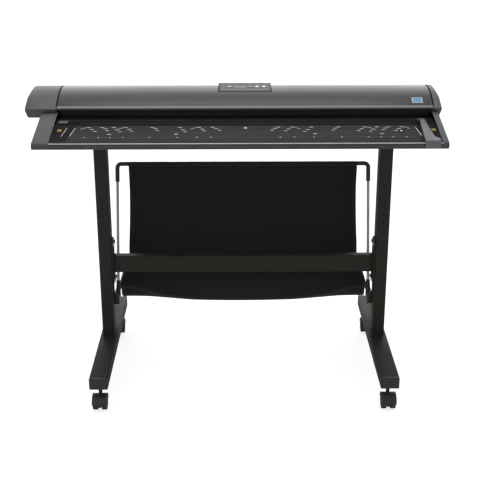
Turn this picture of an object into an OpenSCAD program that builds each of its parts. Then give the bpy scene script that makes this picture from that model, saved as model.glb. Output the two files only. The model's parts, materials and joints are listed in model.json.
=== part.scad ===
// Wide sheet-fed document scanner on a wheeled floor stand with a cloth catch basket.
// Millimetres. +Z up, +X to the right seen from the front, -Y towards the user.
// The origin lies on the floor, under the middle of the whole object.

/* [Scanner widths] */
// Clear width of the feed bed between the two cheeks
bed_w = 1220; // [1000:5:1500]
// Width of the left cheek, which holds the roller drive
cheek_l_w = 53; // [50:1:70]
// Width of the right cheek
cheek_r_w = 19; // [16:1:40]
// How far the left lid cap stands out past the left cheek
pod_l_w = 56; // [40:1:80]
// How far the right lid cap stands out past the right cheek
pod_r_w = 14; // [10:1:30]

/* [Scanner section] */
// Depth of the scanner from the bed's front edge to the lid's rear wall
unit_d = 448; // [430:1:500]
// Height of the lid's crest above the scanner's underside
unit_h = 120; // [114:1:130]
// Wall of the moulded covers
wall = 3; // [2:0.5:4]
// Height of the bed's front edge
bed_front_h = 18; // [16:0.5:22]
// Length of the sloping part of the bed
bed_run = 145; // [120:1:160]
// Rise of the sloping part of the bed
bed_rise = 20; // [16:0.5:22]
// Height of the flat paper path inside
path_h = 42; // [40:0.5:44]
// Thickness of the bed plate
bed_t = 2.5; // [2:0.25:3]
// Depth from the front edge to the lid's front lip
lip_d = 222; // [205:1:240]
// Height of the lid's front lip
lip_h = 78; // [74:1:84]
// Depth at which the lid is highest
crest_d = 355; // [330:1:375]

/* [Rollers and drive] */
// Diameter of the rubber feed rollers
roller_dia = 24; // [18:0.5:26]
// Diameter of the feed roller shafts
shaft_dia = 8; // [6:0.5:10]
// Outer diameter of the shaft bearings
bearing_dia = 16; // [13:0.5:17]
// How far the feed rollers stand above the paper path
roller_proud = 2.3; // [1.5:0.1:2.6]
// Diameter of the idler rollers in the lid
pinch_dia = 16; // [14:0.5:18]
// Diameter of the idler shafts
pinch_shaft = 5; // [4:0.5:6]
// Diameter of the pulleys on the feed rollers
pulley_dia = 18; // [14:0.5:20]
// Diameter of the motor's pulley
motor_pulley_dia = 12; // [10:0.5:14]
// Side of the square motor
motor_side = 35; // [28:1:38]

/* [Control panel] */
// Width of the control panel at its front edge
panel_w = 180; // [176:1:220]
// Depth of the control panel
panel_d = 76; // [70:1:85]
// Height of the panel's rear edge above its front edge
panel_rise = 13.4; // [12:0.2:15]
// Side-to-side size of a key
key_w = 15; // [10:0.5:17]
// Front-to-back size of a key
key_l = 13; // [10:0.5:20]
// Travel of a key
key_travel = 0.8; // [0.4:0.1:1.2]

/* [Stand] */
// Height of the scanner's underside above the floor
unit_z = 844; // [700:1:1000]
// Distance between the centres of the two columns
col_span = 940; // [800:5:1050]
// Width of a column, side to side
col_w = 42; // [36:1:52]
// Depth of a column, front to back
col_d = 62; // [50:1:80]
// Length of a foot
foot_len = 655; // [560:5:760]
// Width of a foot
foot_w = 60; // [50:1:70]
// Height of a foot
foot_h = 40; // [30:1:50]
// How far the columns stand behind the middle of the feet
col_back = 13.5; // [0:0.5:40]
// Wall of the steel tubes
tube_wall = 2; // [1.5:0.25:3]
// Height of the crossbar
crossbar_h = 60; // [40:1:70]
// Depth of the crossbar
crossbar_d = 32; // [25:1:40]
// Height of the crossbar's top face above the floor
crossbar_top = 416; // [380:1:430]
// Thickness of the crossbar's end brackets
bracket_t = 6; // [4:0.5:8]
// Height of the crossbar's end brackets
bracket_h = 158; // [130:1:180]

/* [Casters] */
// Height of the feet's underside above the floor
caster_h = 82; // [76:1:95]
// Diameter of a caster wheel
wheel_dia = 50; // [44:1:54]
// Width of one caster wheel
wheel_w = 16; // [12:0.5:20]
// Diameter of a caster's stem
stem_dia = 10; // [8:0.5:12]
// Distance between a caster's stem and its axle
caster_trail = 18; // [12:1:22]

/* [Basket] */
// Diameter of the basket's rods
rod_dia = 10; // [8:0.5:12]
// Distance between the two uprights of the basket
rod_span = 876; // [740:2:880]
// Height of the basket's top bar
basket_top_z = 686; // [620:1:760]
// How far the top bar stands behind the columns' centres
basket_top_back = 178; // [120:1:200]
// How far the rear bar stands behind the columns' centres
basket_rear_back = 292; // [250:1:295]
// Height of the basket's rear bar
basket_rear_z = 242; // [235:1:255]
// Lowest height of the cloth
belly_z = 196; // [185:1:205]
// Thickness of the cloth's solid
cloth_t = 3; // [2:0.5:4]

/* [Hidden] */
$fn = 96;
// Clearances: running fit on a radius, sliding parts, gap between covers, loose fit
run_gap = 0.05;
slide_gap = 0.4;
cover_gap = 1.5;
loose = 0.2;

lid_grey = [0.36, 0.36, 0.39];
cap_grey = [0.34, 0.37, 0.39];
stand_black = [0.16, 0.16, 0.14];
bed_black = [0.12, 0.12, 0.12];
plastic_black = [0.09, 0.09, 0.09];
steel = [0.66, 0.66, 0.66];
rubber = [0.16, 0.16, 0.17];

// The front casters reach past the feet, so the feet stand a little behind the origin
wheel_gap = 2;
hood_t = 2.5;
hood_r = wheel_dia / 2 + wheel_gap + hood_t;
caster_in = 41;
foot_y = max(0, caster_trail + hood_r - caster_in) / 2;
col_y = foot_y + col_back;

// Widths, left to right
overall_w = pod_l_w + cheek_l_w + bed_w + cheek_r_w + pod_r_w;
x_min = -overall_w / 2;
cheek_l_x = x_min + pod_l_w;
bed_l = cheek_l_x + cheek_l_w;
bed_r = bed_l + bed_w;
cheek_r_x = bed_r + cheek_r_w;
x_max = cheek_r_x + pod_r_w;
media_x = (bed_l + bed_r) / 2;
lid_over = 6;
seam_l = bed_l - lid_over;
seam_r = bed_r + lid_over;
seam_gap = 1;

// The scanner stands with its front edge this far in front of the columns' centres
unit_front = 205;
unit_y = col_y - unit_front;

// Lid section: an arc through the lip and the crest
lip_run = crest_d - lip_d;
lip_drop = unit_h - lip_h;
arc_r = (lip_run * lip_run + lip_drop * lip_drop) / (2 * lip_drop);
arc_c = [crest_d, unit_h - arc_r];
lid_rear_h = 57;
under_h = path_h + 6;
under_t = 2.5;
under_front = lip_d + 2;
under_foot = lip_d + 14;
under_rear = unit_d - 14;
axis_d = unit_d - 5;
axis_h = under_h + 1;
hinge_span = bed_w - 48;
hinge_r = 6;
hinge_pin_dia = 6;
lug_w = 10;
ear_w = 5;
ear_gap = 0.4;
ear_out = lug_w / 2 + ear_gap + ear_w;
ear_d = unit_d - 27;
ear_deep = 12;

// Base section
trim_d = 9;
tray_t = 2;
tray_rear = unit_d - 11;
flange_h = 30;
plate_t = 3;
bed_slope = atan(bed_rise / bed_run);
bed_rear_h = bed_front_h + bed_rise;
flat_d = 190;
bed_end = unit_d - 16;
cheek_top_h = 63;
cheek_back = unit_d - 8;
cheek_run = 195;
cap_under_h = cheek_top_h + cover_gap;
pod_under_h = 45;
rear_cover_h = path_h - bed_t - 0.5;
ear_h = rear_cover_h + 0.5;

// Rollers
roller_ds = [lip_d + 28, crest_d];
roller_h = path_h + roller_proud - roller_dia / 2;
pinch_h = path_h + roller_proud + slide_gap - 0.1 + pinch_dia / 2;
roller_end = 8;
bearing_w = 5;
pulley_w = 10;
pulley_x = bed_l - 20;
motor_at = [(roller_ds[0] + roller_ds[1]) / 2, path_h - 2];
motor_len = 26;
motor_x = cheek_l_x + wall + 0.5;
motor_boss = 22;
motor_shaft = 5;
belt_t = 1;
belt_w = 8;
scan_d = (roller_ds[0] + roller_ds[1]) / 2;
glass_d = 44;
glass_t = 3;
glass_h = under_h - 1.5;

// Panel
panel_at = [crest_d - 52, unit_h - 5.2];
panel_slope = atan(panel_rise / panel_d);
panel_t = 2.5;
panel_side = 4;
panel_well = 13;
key_xs = [-51, 18, 41, 64];
key_y = 41;
key_flange = 2;

// Stand
foot_z = caster_h;
foot_top = caster_h + foot_h;
stand_x = media_x - 6;
plate_top_t = 4;
plate_top_w = 60;
plate_top_d = 190;
col_h = unit_z - plate_top_t - foot_top;
tube_r = 4;
end_cap_t = 4;
end_plug = 12;
caster_ys = [-(foot_len / 2 - caster_in), foot_len / 2 - caster_in];
boss_dia = 20;
stem_up = foot_h - tube_wall - 6;
web_w = 12;
axle_dia = 8;
hood_w = web_w + 2 * wheel_w + 4;
bracket_top = crossbar_top + 57;
bracket_d = 50;
bolt_dia = 8;
bolt_hole = bolt_dia + 2 * loose;
bolt_rows = [14, bracket_h - 14];
bolt_cols = [-14, 14];
unit_bolt_dia = 6;
unit_bolt_y = 80;
accessory_hole = 5;
accessory_pitch = 26;
accessory_low = 541;
inner_face = col_span / 2 - col_w / 2;

// Basket
socket_w = 16;
socket_back = 35;
socket_z = 250;
rod_x = rod_span / 2;
rod_foot = [col_y + socket_back, socket_z];
rod_head = [col_y + basket_top_back, basket_top_z];
rod_lean = atan((rod_head[0] - rod_foot[0]) / (rod_head[1] - rod_foot[1]));
rod_len = norm(rod_head - rod_foot);
elbow_dia = rod_dia + 5;
elbow_bend = 14;
elbow_down = 48;
elbow_across = 22;
bore_dia = rod_dia + 2 * loose;
boot_len = 52;
arm_x = rod_x + 4;
arm_bend = 20;
arm_y0 = col_y + 49;
rear_y = col_y + basket_rear_back;
hem_dia = rod_dia + 6;
cloth_up = rod_x - elbow_bend - elbow_across - 1;
cloth_low = arm_x - rod_dia / 2 - 3;

// ---- helpers ----

// A profile in depth and height, drawn out along X
module along_x(x0, x1) translate([x0, 0, 0]) rotate([90, 0, 90]) linear_extrude(x1 - x0) children();

// A profile in width and height, drawn out along Y
module along_y(y0, y1) translate([0, y1, 0]) rotate([90, 0, 0]) linear_extrude(y1 - y0) children();

// A block between two corners
module block(a, b) translate(a) cube(b - a);

// A round bar along X
module bar_x(x0, x1, dia) translate([x0, 0, 0]) rotate([0, 90, 0]) cylinder(h = x1 - x0, d = dia);

module rounded(w, h, r) offset(r = r, $fn = 24) square([w - 2 * r, h - 2 * r], center = true);

module tube_section(w, h) difference() {
  rounded(w, h, tube_r);
  square([w - 2 * tube_wall, h - 2 * tube_wall], center = true);
}

// The scanner's own frame: depth from the bed's front edge, height from the underside
module in_unit() translate([0, unit_y, unit_z]) children();

// The bed's sloping frame: y along the slope, z off the bed
module on_bed() in_unit() translate([0, 0, bed_front_h]) rotate([bed_slope, 0, 0]) children();

// The control panel's sloping frame
module on_panel() in_unit() translate([media_x, panel_at[0], panel_at[1]])
  rotate([panel_slope, 0, 0]) children();

// ---- stand ----

module foot(side) color(stand_black) translate([stand_x + side * col_span / 2, foot_y, 0]) difference() {
  union() {
    translate([0, 0, foot_z + foot_h / 2])
      along_y(-foot_len / 2 + end_cap_t, foot_len / 2 - end_cap_t) tube_section(foot_w, foot_h);
    for (y = caster_ys) translate([0, y, foot_z]) cylinder(h = foot_h - tube_wall / 2, d = boss_dia);
  }
  for (y = caster_ys) translate([0, y, foot_z - 1]) cylinder(h = stem_up + 2, d = stem_dia + 2 * run_gap);
}
module foot_left() foot(-1);
module foot_right() foot(1);

module foot_end_caps() color(plastic_black)
  for (side = [-1, 1], end = [-1, 1])
    translate([stand_x + side * col_span / 2, foot_y + end * foot_len / 2, foot_z + foot_h / 2])
      rotate([0, 0, end < 0 ? 0 : 180]) {
        along_y(0, end_cap_t) rounded(foot_w, foot_h, tube_r);
        along_y(end_cap_t, end_cap_t + end_plug)
          square([foot_w - 2 * tube_wall - 2 * loose, foot_h - 2 * tube_wall - 2 * loose], center = true);
      }

module column(side) color(stand_black) translate([stand_x + side * col_span / 2, col_y, 0]) difference() {
  union() {
    translate([0, 0, foot_top]) linear_extrude(col_h) tube_section(col_w, col_d);
    translate([0, 0, foot_top]) linear_extrude(plate_t) rounded(col_w, col_d, tube_r);
    translate([0, 0, unit_z - plate_top_t]) linear_extrude(plate_top_t)
      rounded(plate_top_w, plate_top_d, tube_r);
  }
  for (i = [0:3]) translate([0, -col_d / 2 - 1, accessory_low + i * accessory_pitch])
    rotate([-90, 0, 0]) cylinder(h = tube_wall + 2, d = accessory_hole);
  for (z = bolt_rows, y = bolt_cols)
    translate([-side * col_w / 2, y, bracket_top - bracket_h + z])
      rotate([0, 90, 0]) cylinder(h = 2 * tube_wall + 2, d = bolt_hole, center = true);
  for (y = [-unit_bolt_y, unit_bolt_y])
    translate([0, y, unit_z - plate_top_t - 1]) cylinder(h = plate_top_t + 2, d = unit_bolt_dia + 2 * loose);
}
module column_left() column(-1);
module column_right() column(1);

module crossbar() color(stand_black)
  translate([stand_x, col_y, crossbar_top - crossbar_h / 2])
    along_x(-(inner_face - bracket_t), inner_face - bracket_t) tube_section(crossbar_d, crossbar_h);

module crossbar_brackets() color(stand_black)
  for (side = [-1, 1])
    translate([stand_x + side * (inner_face - bracket_t / 2), col_y, bracket_top - bracket_h])
    difference() {
      translate([0, 0, bracket_h / 2])
        along_x(-bracket_t / 2, bracket_t / 2) rounded(bracket_d, bracket_h, tube_r);
      for (z = bolt_rows, y = bolt_cols) translate([0, y, z])
        rotate([0, 90, 0]) cylinder(h = bracket_t + 2, d = bolt_hole, center = true);
    }

// A hexagon bolt whose head rests on z = 0 and whose shank points up
module bolt(dia, len) {
  translate([0, 0, -dia * 0.6]) cylinder(h = dia * 0.6, d = dia * 1.8, $fn = 6);
  cylinder(h = len, d = dia);
}

module stand_bolts() color(steel) {
  for (side = [-1, 1], z = bolt_rows, y = bolt_cols)
    translate([stand_x + side * (inner_face - bracket_t), col_y + y, bracket_top - bracket_h + z])
      rotate([0, side * 90, 0]) bolt(bolt_dia, bracket_t + tube_wall + 5);
  for (side = [-1, 1], y = [-unit_bolt_y, unit_bolt_y])
    translate([stand_x + side * col_span / 2, col_y + y, unit_z - plate_top_t])
      bolt(unit_bolt_dia, plate_top_t + tray_t + 3);
}

// Caster hood with its stem; the axle lies caster_trail in front of the stem
module caster_hood(sx, sy) color(plastic_black)
  translate([stand_x + sx * col_span / 2, foot_y + caster_ys[sy > 0 ? 1 : 0], 0]) difference() {
    union() {
      translate([0, -caster_trail, wheel_dia / 2]) {
        along_x(-hood_w / 2, hood_w / 2) intersection() {
          difference() {
            circle(r = hood_r);
            circle(d = wheel_dia + 2 * wheel_gap);
          }
          translate([-wheel_dia, 2]) square([2 * wheel_dia, wheel_dia]);
        }
        along_x(-web_w / 2, web_w / 2) intersection() {
          circle(d = wheel_dia + 2 * wheel_gap + hood_t);
          translate([-wheel_dia, -8]) square([2 * wheel_dia, wheel_dia]);
        }
      }
      translate([0, 0, wheel_dia / 2]) cylinder(h = foot_z - 2 - wheel_dia / 2, d = web_w);
      translate([0, 0, wheel_dia / 2]) cylinder(h = foot_z + stem_up - wheel_dia / 2, d = stem_dia);
    }
    translate([0, -caster_trail, wheel_dia / 2])
      bar_x(-web_w / 2 - 1, web_w / 2 + 1, axle_dia + 2 * run_gap);
  }

// Two wheels on one axle
module caster_wheels(sx, sy) color(rubber)
  translate([stand_x + sx * col_span / 2, foot_y + caster_ys[sy > 0 ? 1 : 0] - caster_trail, wheel_dia / 2]) {
    bar_x(-web_w / 2 - 2, web_w / 2 + 2, axle_dia);
    for (s = [-1, 1]) translate([s * (web_w / 2 + 0.8 + wheel_w / 2), 0, 0]) difference() {
      bar_x(-wheel_w / 2, wheel_w / 2, wheel_dia);
      translate([s * (wheel_w / 2 - 2), 0, 0]) bar_x(-2.01, 2.01, wheel_dia * 0.6);
    }
  }
module caster_hood_front_left() caster_hood(-1, -1);
module caster_hood_front_right() caster_hood(1, -1);
module caster_hood_rear_left() caster_hood(-1, 1);
module caster_hood_rear_right() caster_hood(1, 1);
module caster_wheels_front_left() caster_wheels(-1, -1);
module caster_wheels_front_right() caster_wheels(1, -1);
module caster_wheels_rear_left() caster_wheels(-1, 1);
module caster_wheels_rear_right() caster_wheels(1, 1);

// ---- basket ----

// The leaning frame of one upright: z runs up the rod from its foot, x points to the middle
module on_rod(side) translate([stand_x + side * rod_x, rod_foot[0], rod_foot[1]])
  rotate([-rod_lean, 0, 0]) mirror([side > 0 ? 1 : 0, 0, 0]) children();

module basket_upright(side) color(steel) on_rod(side)
  translate([0, 0, -6]) cylinder(h = rod_len - elbow_bend - 8 + 6, d = rod_dia);
module basket_upright_left() basket_upright(-1);
module basket_upright_right() basket_upright(1);

module basket_top_bar() color(stand_black) translate([stand_x, rod_head[0], rod_head[1]])
  bar_x(-(rod_x - elbow_bend - 6), rod_x - elbow_bend - 6, rod_dia);

module basket_elbows() color(plastic_black) for (side = [-1, 1]) on_rod(side) difference() {
  union() {
    translate([0, 0, rod_len - elbow_bend - elbow_down]) cylinder(h = elbow_down, d = elbow_dia);
    translate([elbow_bend, 0, rod_len - elbow_bend]) rotate([90, 0, 0])
      rotate([0, 0, 90]) rotate_extrude(angle = 90) translate([elbow_bend, 0]) circle(d = elbow_dia);
    translate([0, 0, rod_len]) bar_x(elbow_bend, elbow_bend + elbow_across, elbow_dia);
  }
  translate([0, 0, rod_len - elbow_bend - elbow_down - 1]) cylinder(h = elbow_down - 6, d = bore_dia);
  translate([0, 0, rod_len]) bar_x(elbow_bend + 5, elbow_bend + elbow_across + 1, bore_dia);
}

// Block on the column's inner face, with a tapered boot round the upright
module basket_sockets() color(plastic_black) for (side = [-1, 1]) difference() {
  union() {
    translate([stand_x + side * (inner_face - socket_w / 2), 0, 0])
      block([-socket_w / 2, col_y + 10, socket_z - 24], [socket_w / 2, col_y + 62, socket_z + 16]);
    on_rod(side) cylinder(h = boot_len, r1 = rod_dia / 2 + 4, r2 = rod_dia / 2 + 1.5);
  }
  on_rod(side) translate([0, 0, -7]) cylinder(h = boot_len + 8, d = bore_dia);
  translate([stand_x + side * arm_x, arm_y0, basket_rear_z]) rotate([-90, 0, 0])
    cylinder(h = 20, d = bore_dia);
}

module basket_rear_arms() color(stand_black) for (side = [-1, 1])
  translate([stand_x + side * arm_x, 0, basket_rear_z]) mirror([side > 0 ? 1 : 0, 0, 0]) {
    translate([0, arm_y0 + 1, 0])
      rotate([-90, 0, 0]) cylinder(h = rear_y - arm_bend - arm_y0 - 1, d = rod_dia);
    translate([arm_bend, rear_y - arm_bend, 0])
      rotate([0, 0, 90]) rotate_extrude(angle = 90) translate([arm_bend, 0]) circle(d = rod_dia);
  }

module basket_rear_bar() color(stand_black) translate([stand_x, rear_y, basket_rear_z])
  bar_x(-(arm_x - arm_bend), arm_x - arm_bend, rod_dia);

// The cloth's line from the top bar, down behind the crossbar, along the belly and up to the rear bar
drop = rod_head - rod_foot;
cloth_line = [
  rod_head + [3, -hem_dia / 2 + 1],
  rod_foot + drop * 0.19 + [12, 0],
  [col_y + 64, basket_rear_z + 34],
  [col_y + 84, belly_z + 20],
  [col_y + 134, belly_z + cloth_t / 2],
  [col_y + 205, belly_z + 9],
  [rear_y - 34, basket_rear_z - 20],
  [rear_y - hem_dia / 2 + 1, basket_rear_z - 3]
];
function normal_at(p, i) = let (
    a = p[max(i - 1, 0)], b = p[min(i + 1, len(p) - 1)], t = (b - a) / norm(b - a)
  ) [-t[1], t[0]];
function strip(p, t) = concat(
  [for (i = [0:len(p) - 1]) p[i] + normal_at(p, i) * t / 2],
  [for (i = [len(p) - 1:-1:0]) p[i] - normal_at(p, i) * t / 2]
);
cloth_flare_z = crossbar_top - 30;
cloth_low_z = basket_rear_z + 34;

module basket_cloth() color([0.13, 0.11, 0.11]) translate([stand_x, 0, 0]) {
  intersection() {
    along_x(-cloth_low, cloth_low) polygon(strip(cloth_line, cloth_t));
    along_y(col_y, rear_y + 40) polygon([
      [-cloth_low, 0], [cloth_low, 0], [cloth_low, cloth_low_z], [cloth_up, cloth_flare_z],
      [cloth_up, basket_top_z + 40], [-cloth_up, basket_top_z + 40], [-cloth_up, cloth_flare_z],
      [-cloth_low, cloth_low_z]
    ]);
    linear_extrude(basket_top_z + 40) polygon([
      [-cloth_low, col_y], [cloth_low, col_y], [cloth_low, rear_y - arm_bend - 6],
      [cloth_low - arm_bend, rear_y - 6], [cloth_low - arm_bend, rear_y], [arm_bend - cloth_low, rear_y],
      [arm_bend - cloth_low, rear_y - 6], [-cloth_low, rear_y - arm_bend - 6]
    ]);
  }
  translate([0, rod_head[0], rod_head[1]]) difference() {
    bar_x(-cloth_up, cloth_up, hem_dia);
    bar_x(-cloth_up - 1, cloth_up + 1, bore_dia + 0.6);
  }
  translate([0, rear_y, basket_rear_z]) difference() {
    bar_x(-(cloth_low - arm_bend), cloth_low - arm_bend, hem_dia);
    bar_x(-cloth_low, cloth_low, bore_dia + 0.6);
  }
}

// ---- scanner base ----

module base_tray() color(steel) in_unit() difference() {
  along_x(bed_l, bed_r) polygon([
    [trim_d, 0], [tray_rear, 0], [tray_rear, flange_h], [tray_rear - tray_t, flange_h],
    [tray_rear - tray_t, tray_t], [trim_d + tray_t, tray_t], [trim_d + tray_t, bed_front_h - 4],
    [trim_d, bed_front_h - 4]
  ]);
  for (side = [-1, 1], y = [-unit_bolt_y, unit_bolt_y])
    translate([stand_x + side * col_span / 2, unit_front + y, -1])
      cylinder(h = tray_t + 2, d = unit_bolt_dia + 2 * loose);
  port_window(tray_rear - tray_t - 1, tray_rear + 1);
}

module side_plate_shape() difference() {
  polygon([
    [trim_d + tray_t, tray_t], [bed_end, tray_t], [bed_end, path_h + 2], [flat_d, path_h + 2],
    [bed_run, bed_rear_h + 2], [trim_d + tray_t, bed_front_h]
  ]);
  for (d = roller_ds) translate([d, roller_h]) circle(d = bearing_dia + 0.04);
  translate([unit_d - 34, tray_t]) square([40, path_h + 10]);
}

module side_plates() color(steel) in_unit() {
  along_x(bed_l, bed_l + plate_t) side_plate_shape();
  along_x(bed_r - plate_t, bed_r) side_plate_shape();
}

bed_top = [[trim_d + 0.5, bed_front_h + 0.6], [bed_run, bed_rear_h], [flat_d, path_h], [bed_end, path_h]];

module bed_plate() color(bed_black) in_unit() difference() {
  along_x(bed_l + plate_t + loose, bed_r - plate_t - loose)
    polygon(concat(bed_top, [for (i = [3:-1:0]) bed_top[i] - [0, bed_t]]));
  for (d = roller_ds) block(
    [bed_l + roller_end - 1, d - roller_dia / 2 - 2, 0],
    [bed_r - roller_end + 1, d + roller_dia / 2 + 2, path_h + 5]);
  block([bed_l + 20, scan_d - glass_d / 2, 0], [bed_r - 20, scan_d + glass_d / 2, path_h + 5]);
  for (s = [-1, 1]) block(
    [media_x + s * hinge_span / 2 - ear_out - 1, bed_end - 14, 0],
    [media_x + s * hinge_span / 2 + ear_out + 1, bed_end + 1, path_h + 5]);
  for (x = release_xs) block(
    [x - release_w / 2 - slide_gap, release_d - release_l / 2 - slide_gap, 0],
    [x + release_w / 2 + slide_gap, release_d + release_l / 2 + slide_gap, path_h + 5]);
}

module bed_front_trim() color([0.3, 0.3, 0.3]) in_unit() along_x(bed_l, bed_r) polygon([
  [1.5, 0], [trim_d, 0], [trim_d, bed_front_h + 0.6], [3, bed_front_h + 0.6], [1.2, bed_front_h],
  [0.6, bed_front_h - 1.6], [0.6, 9.5], [0, 8.5], [0, 1.5]
]);

module cheek_shape() polygon([
  [1.5, 0], [cheek_back, 0], [cheek_back, cheek_top_h - 8], [cheek_back - 8, cheek_top_h],
  [cheek_run, cheek_top_h], [14, bed_front_h + 4.5], [3, bed_front_h + 1], [0, bed_front_h - 4], [0, 2]
]);

// Hollow side moulding, open towards the bed
module cheek(outer, inner) in_unit() difference() {
  along_x(min(outer, inner), max(outer, inner)) cheek_shape();
  along_x(min(outer + wall * sign(inner - outer), inner + sign(inner - outer)),
          max(outer + wall * sign(inner - outer), inner + sign(inner - outer)))
    offset(delta = -wall) cheek_shape();
}
module cheek_left() color(cap_grey) cheek(cheek_l_x, bed_l);
module cheek_right() color(cap_grey) cheek(cheek_r_x, bed_r);

// Places of the sockets and switch on the back
port_x = media_x + 330;
inlet_x = media_x + 410;
switch_x = media_x + 450;
port_h = 20;
lan = [18, 15];
usb = [13, 12];
inlet = [28, 20];
inlet_mouth = [24, 16];
inlet_deep = 14;
inlet_pin = [2, 4];
inlet_pin_len = 8;
rocker = [20, 13];
socket_gap = 0.3;

module port_window(y0, y1) {
  block([port_x - 24, y0, port_h - 10], [port_x + 24, y1, port_h + 10]);
  block([inlet_x - inlet[0] / 2 - 2, y0, port_h - inlet[1] / 2 - 2],
        [inlet_x + inlet[0] / 2 + 2, y1, port_h + inlet[1] / 2 + 2]);
  block([switch_x - 15, y0, port_h - 10], [switch_x + 15, y1, port_h + 10]);
}

module rear_cover() color(plastic_black) in_unit() {
  difference() {
    block([bed_l, tray_rear, 0], [bed_r, tray_rear + wall, rear_cover_h]);
    for (x = [port_x - 11, port_x + 11]) let (size = x < port_x ? lan : usb)
      block([x - size[0] / 2 - socket_gap, tray_rear - 1, port_h - size[1] / 2 - socket_gap],
            [x + size[0] / 2 + socket_gap, tray_rear + wall + 1, port_h + size[1] / 2 + socket_gap]);
    block([inlet_x - inlet[0] / 2 - socket_gap, tray_rear - 1, port_h - inlet[1] / 2 - socket_gap],
          [inlet_x + inlet[0] / 2 + socket_gap, tray_rear + wall + 1, port_h + inlet[1] / 2 + socket_gap]);
    block([switch_x - rocker[0] / 2 - slide_gap, tray_rear - 1, port_h - rocker[1] / 2 - 1],
          [switch_x + rocker[0] / 2 + slide_gap, tray_rear + wall + 1, port_h + rocker[1] / 2 + 1]);
    for (i = [-6:6])
      block([media_x + i * 14 - 4, tray_rear - 1, 12], [media_x + i * 14 + 4, tray_rear + wall + 1, 28]);
  }
  for (s = [-1, 1]) difference() {
    block([switch_x + s * (rocker[0] / 2 + 2.2) - 1.5, tray_rear - 9, port_h - 5],
          [switch_x + s * (rocker[0] / 2 + 2.2) + 1.5, tray_rear + 1, port_h + 5]);
    translate([switch_x, tray_rear - 4, port_h]) bar_x(-20, 20, 3 + 2 * run_gap);
  }
}

module feed_roller(d) color(rubber) in_unit() translate([0, d, roller_h]) {
  bar_x(bed_l + roller_end, bed_r - roller_end, roller_dia);
  bar_x(pulley_x - 2, bed_r + 2, shaft_dia);
  bar_x(pulley_x, pulley_x + pulley_w, pulley_dia);
}
module feed_roller_front() feed_roller(roller_ds[0]);
module feed_roller_rear() feed_roller(roller_ds[1]);

module roller_bearings() color(steel) in_unit()
  for (d = roller_ds, x = [bed_l - bearing_w + plate_t, bed_r - plate_t]) translate([x, d, roller_h])
    difference() {
      bar_x(0, bearing_w, bearing_dia);
      bar_x(-1, bearing_w + 1, shaft_dia + 2 * run_gap);
    }

module drive_motor() color([0.2, 0.2, 0.2]) in_unit() translate([motor_x, motor_at[0], motor_at[1]])
  difference() {
    union() {
      along_x(0, motor_len) rounded(motor_side, motor_side, 3);
      bar_x(motor_len - 1, motor_len + 1.5, motor_boss);
    }
    bar_x(motor_len - 14, motor_len + 3, motor_shaft + 2 * run_gap);
  }

module motor_pulley() color(steel) in_unit() translate([0, motor_at[0], motor_at[1]]) {
  bar_x(motor_x + motor_len - 13, pulley_x + pulley_w, motor_shaft);
  bar_x(pulley_x, pulley_x + pulley_w, motor_pulley_dia);
}

module belt_loop(extra) hull() {
  for (d = roller_ds) translate([d, roller_h]) circle(d = pulley_dia + 2 * extra);
  translate(motor_at) circle(d = motor_pulley_dia + 2 * extra);
}

module drive_belt() color(rubber) in_unit()
  along_x(pulley_x + (pulley_w - belt_w) / 2, pulley_x + (pulley_w + belt_w) / 2) difference() {
    belt_loop(slide_gap + belt_t);
    belt_loop(slide_gap);
  }

// White backing under the scan line, standing on the tray
module backing_plate() color("white") in_unit() {
  block([bed_l + 22, scan_d - glass_d / 2 + 2, path_h - bed_t],
        [bed_r - 22, scan_d + glass_d / 2 - 2, path_h + 0.5]);
  for (i = [-4:4])
    block([media_x + i * 130 - 6, scan_d - 8, tray_t], [media_x + i * 130 + 6, scan_d + 8, path_h - bed_t]);
}

module main_board() color([0.1, 0.3, 0.16]) in_unit() translate([media_x + 250, unit_d - 68, 0]) {
  block([0, 0, 9], [150, 34, 10.6]);
  for (x = [5, 145], y = [5, 29]) translate([x, y, tray_t]) cylinder(h = 9 - tray_t, d = 6);
  block([20, 6, 10.6], [44, 28, 12.6]);
  block([60, 8, 10.6], [76, 24, 12]);
  block([112, 6, 10.6], [120, 14, 20]);
}

// Appliance inlet with three flat pins
module power_inlet() color(plastic_black) in_unit() translate([inlet_x, tray_rear + wall + 0.5, port_h]) {
  difference() {
    block([-inlet[0] / 2, -inlet_deep - 4, -inlet[1] / 2], [inlet[0] / 2, 0, inlet[1] / 2]);
    block([-inlet_mouth[0] / 2, -inlet_deep, -inlet_mouth[1] / 2],
          [inlet_mouth[0] / 2, 1, inlet_mouth[1] / 2]);
  }
  for (at = [[-7, -2], [0, 2], [7, -2]])
    translate([at[0] - inlet_pin[0] / 2, -inlet_deep - 1, at[1] - inlet_pin[1] / 2])
      cube([inlet_pin[0], inlet_pin_len + 1, inlet_pin[1]]);
}

module port_shell(x, size, mouth) difference() {
  block([x - size[0] / 2, tray_rear - 16, port_h - size[1] / 2],
        [x + size[0] / 2, tray_rear + wall + 0.5, port_h + size[1] / 2]);
  block([x - mouth[0] / 2, tray_rear - 9, port_h - mouth[1] / 2],
        [x + mouth[0] / 2, tray_rear + wall + 2, port_h + mouth[1] / 2]);
}

module data_ports() color(steel) in_unit() {
  port_shell(port_x - 11, lan, [12.5, 9]);
  port_shell(port_x + 11, usb, [9, 8]);
}

module power_switch() color(plastic_black) in_unit() translate([switch_x, tray_rear - 4, port_h]) {
  bar_x(-rocker[0] / 2 - 3.5, rocker[0] / 2 + 3.5, 3);
  intersection() {
    along_x(-rocker[0] / 2, rocker[0] / 2)
      polygon([[-3, -5], [3, -6.2], [9.6, -5.2], [7.6, 0], [8.2, 5.2], [3, 6.2], [-3, 5]]);
    bar_x(-rocker[0], rocker[0], 22);
  }
}

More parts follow.
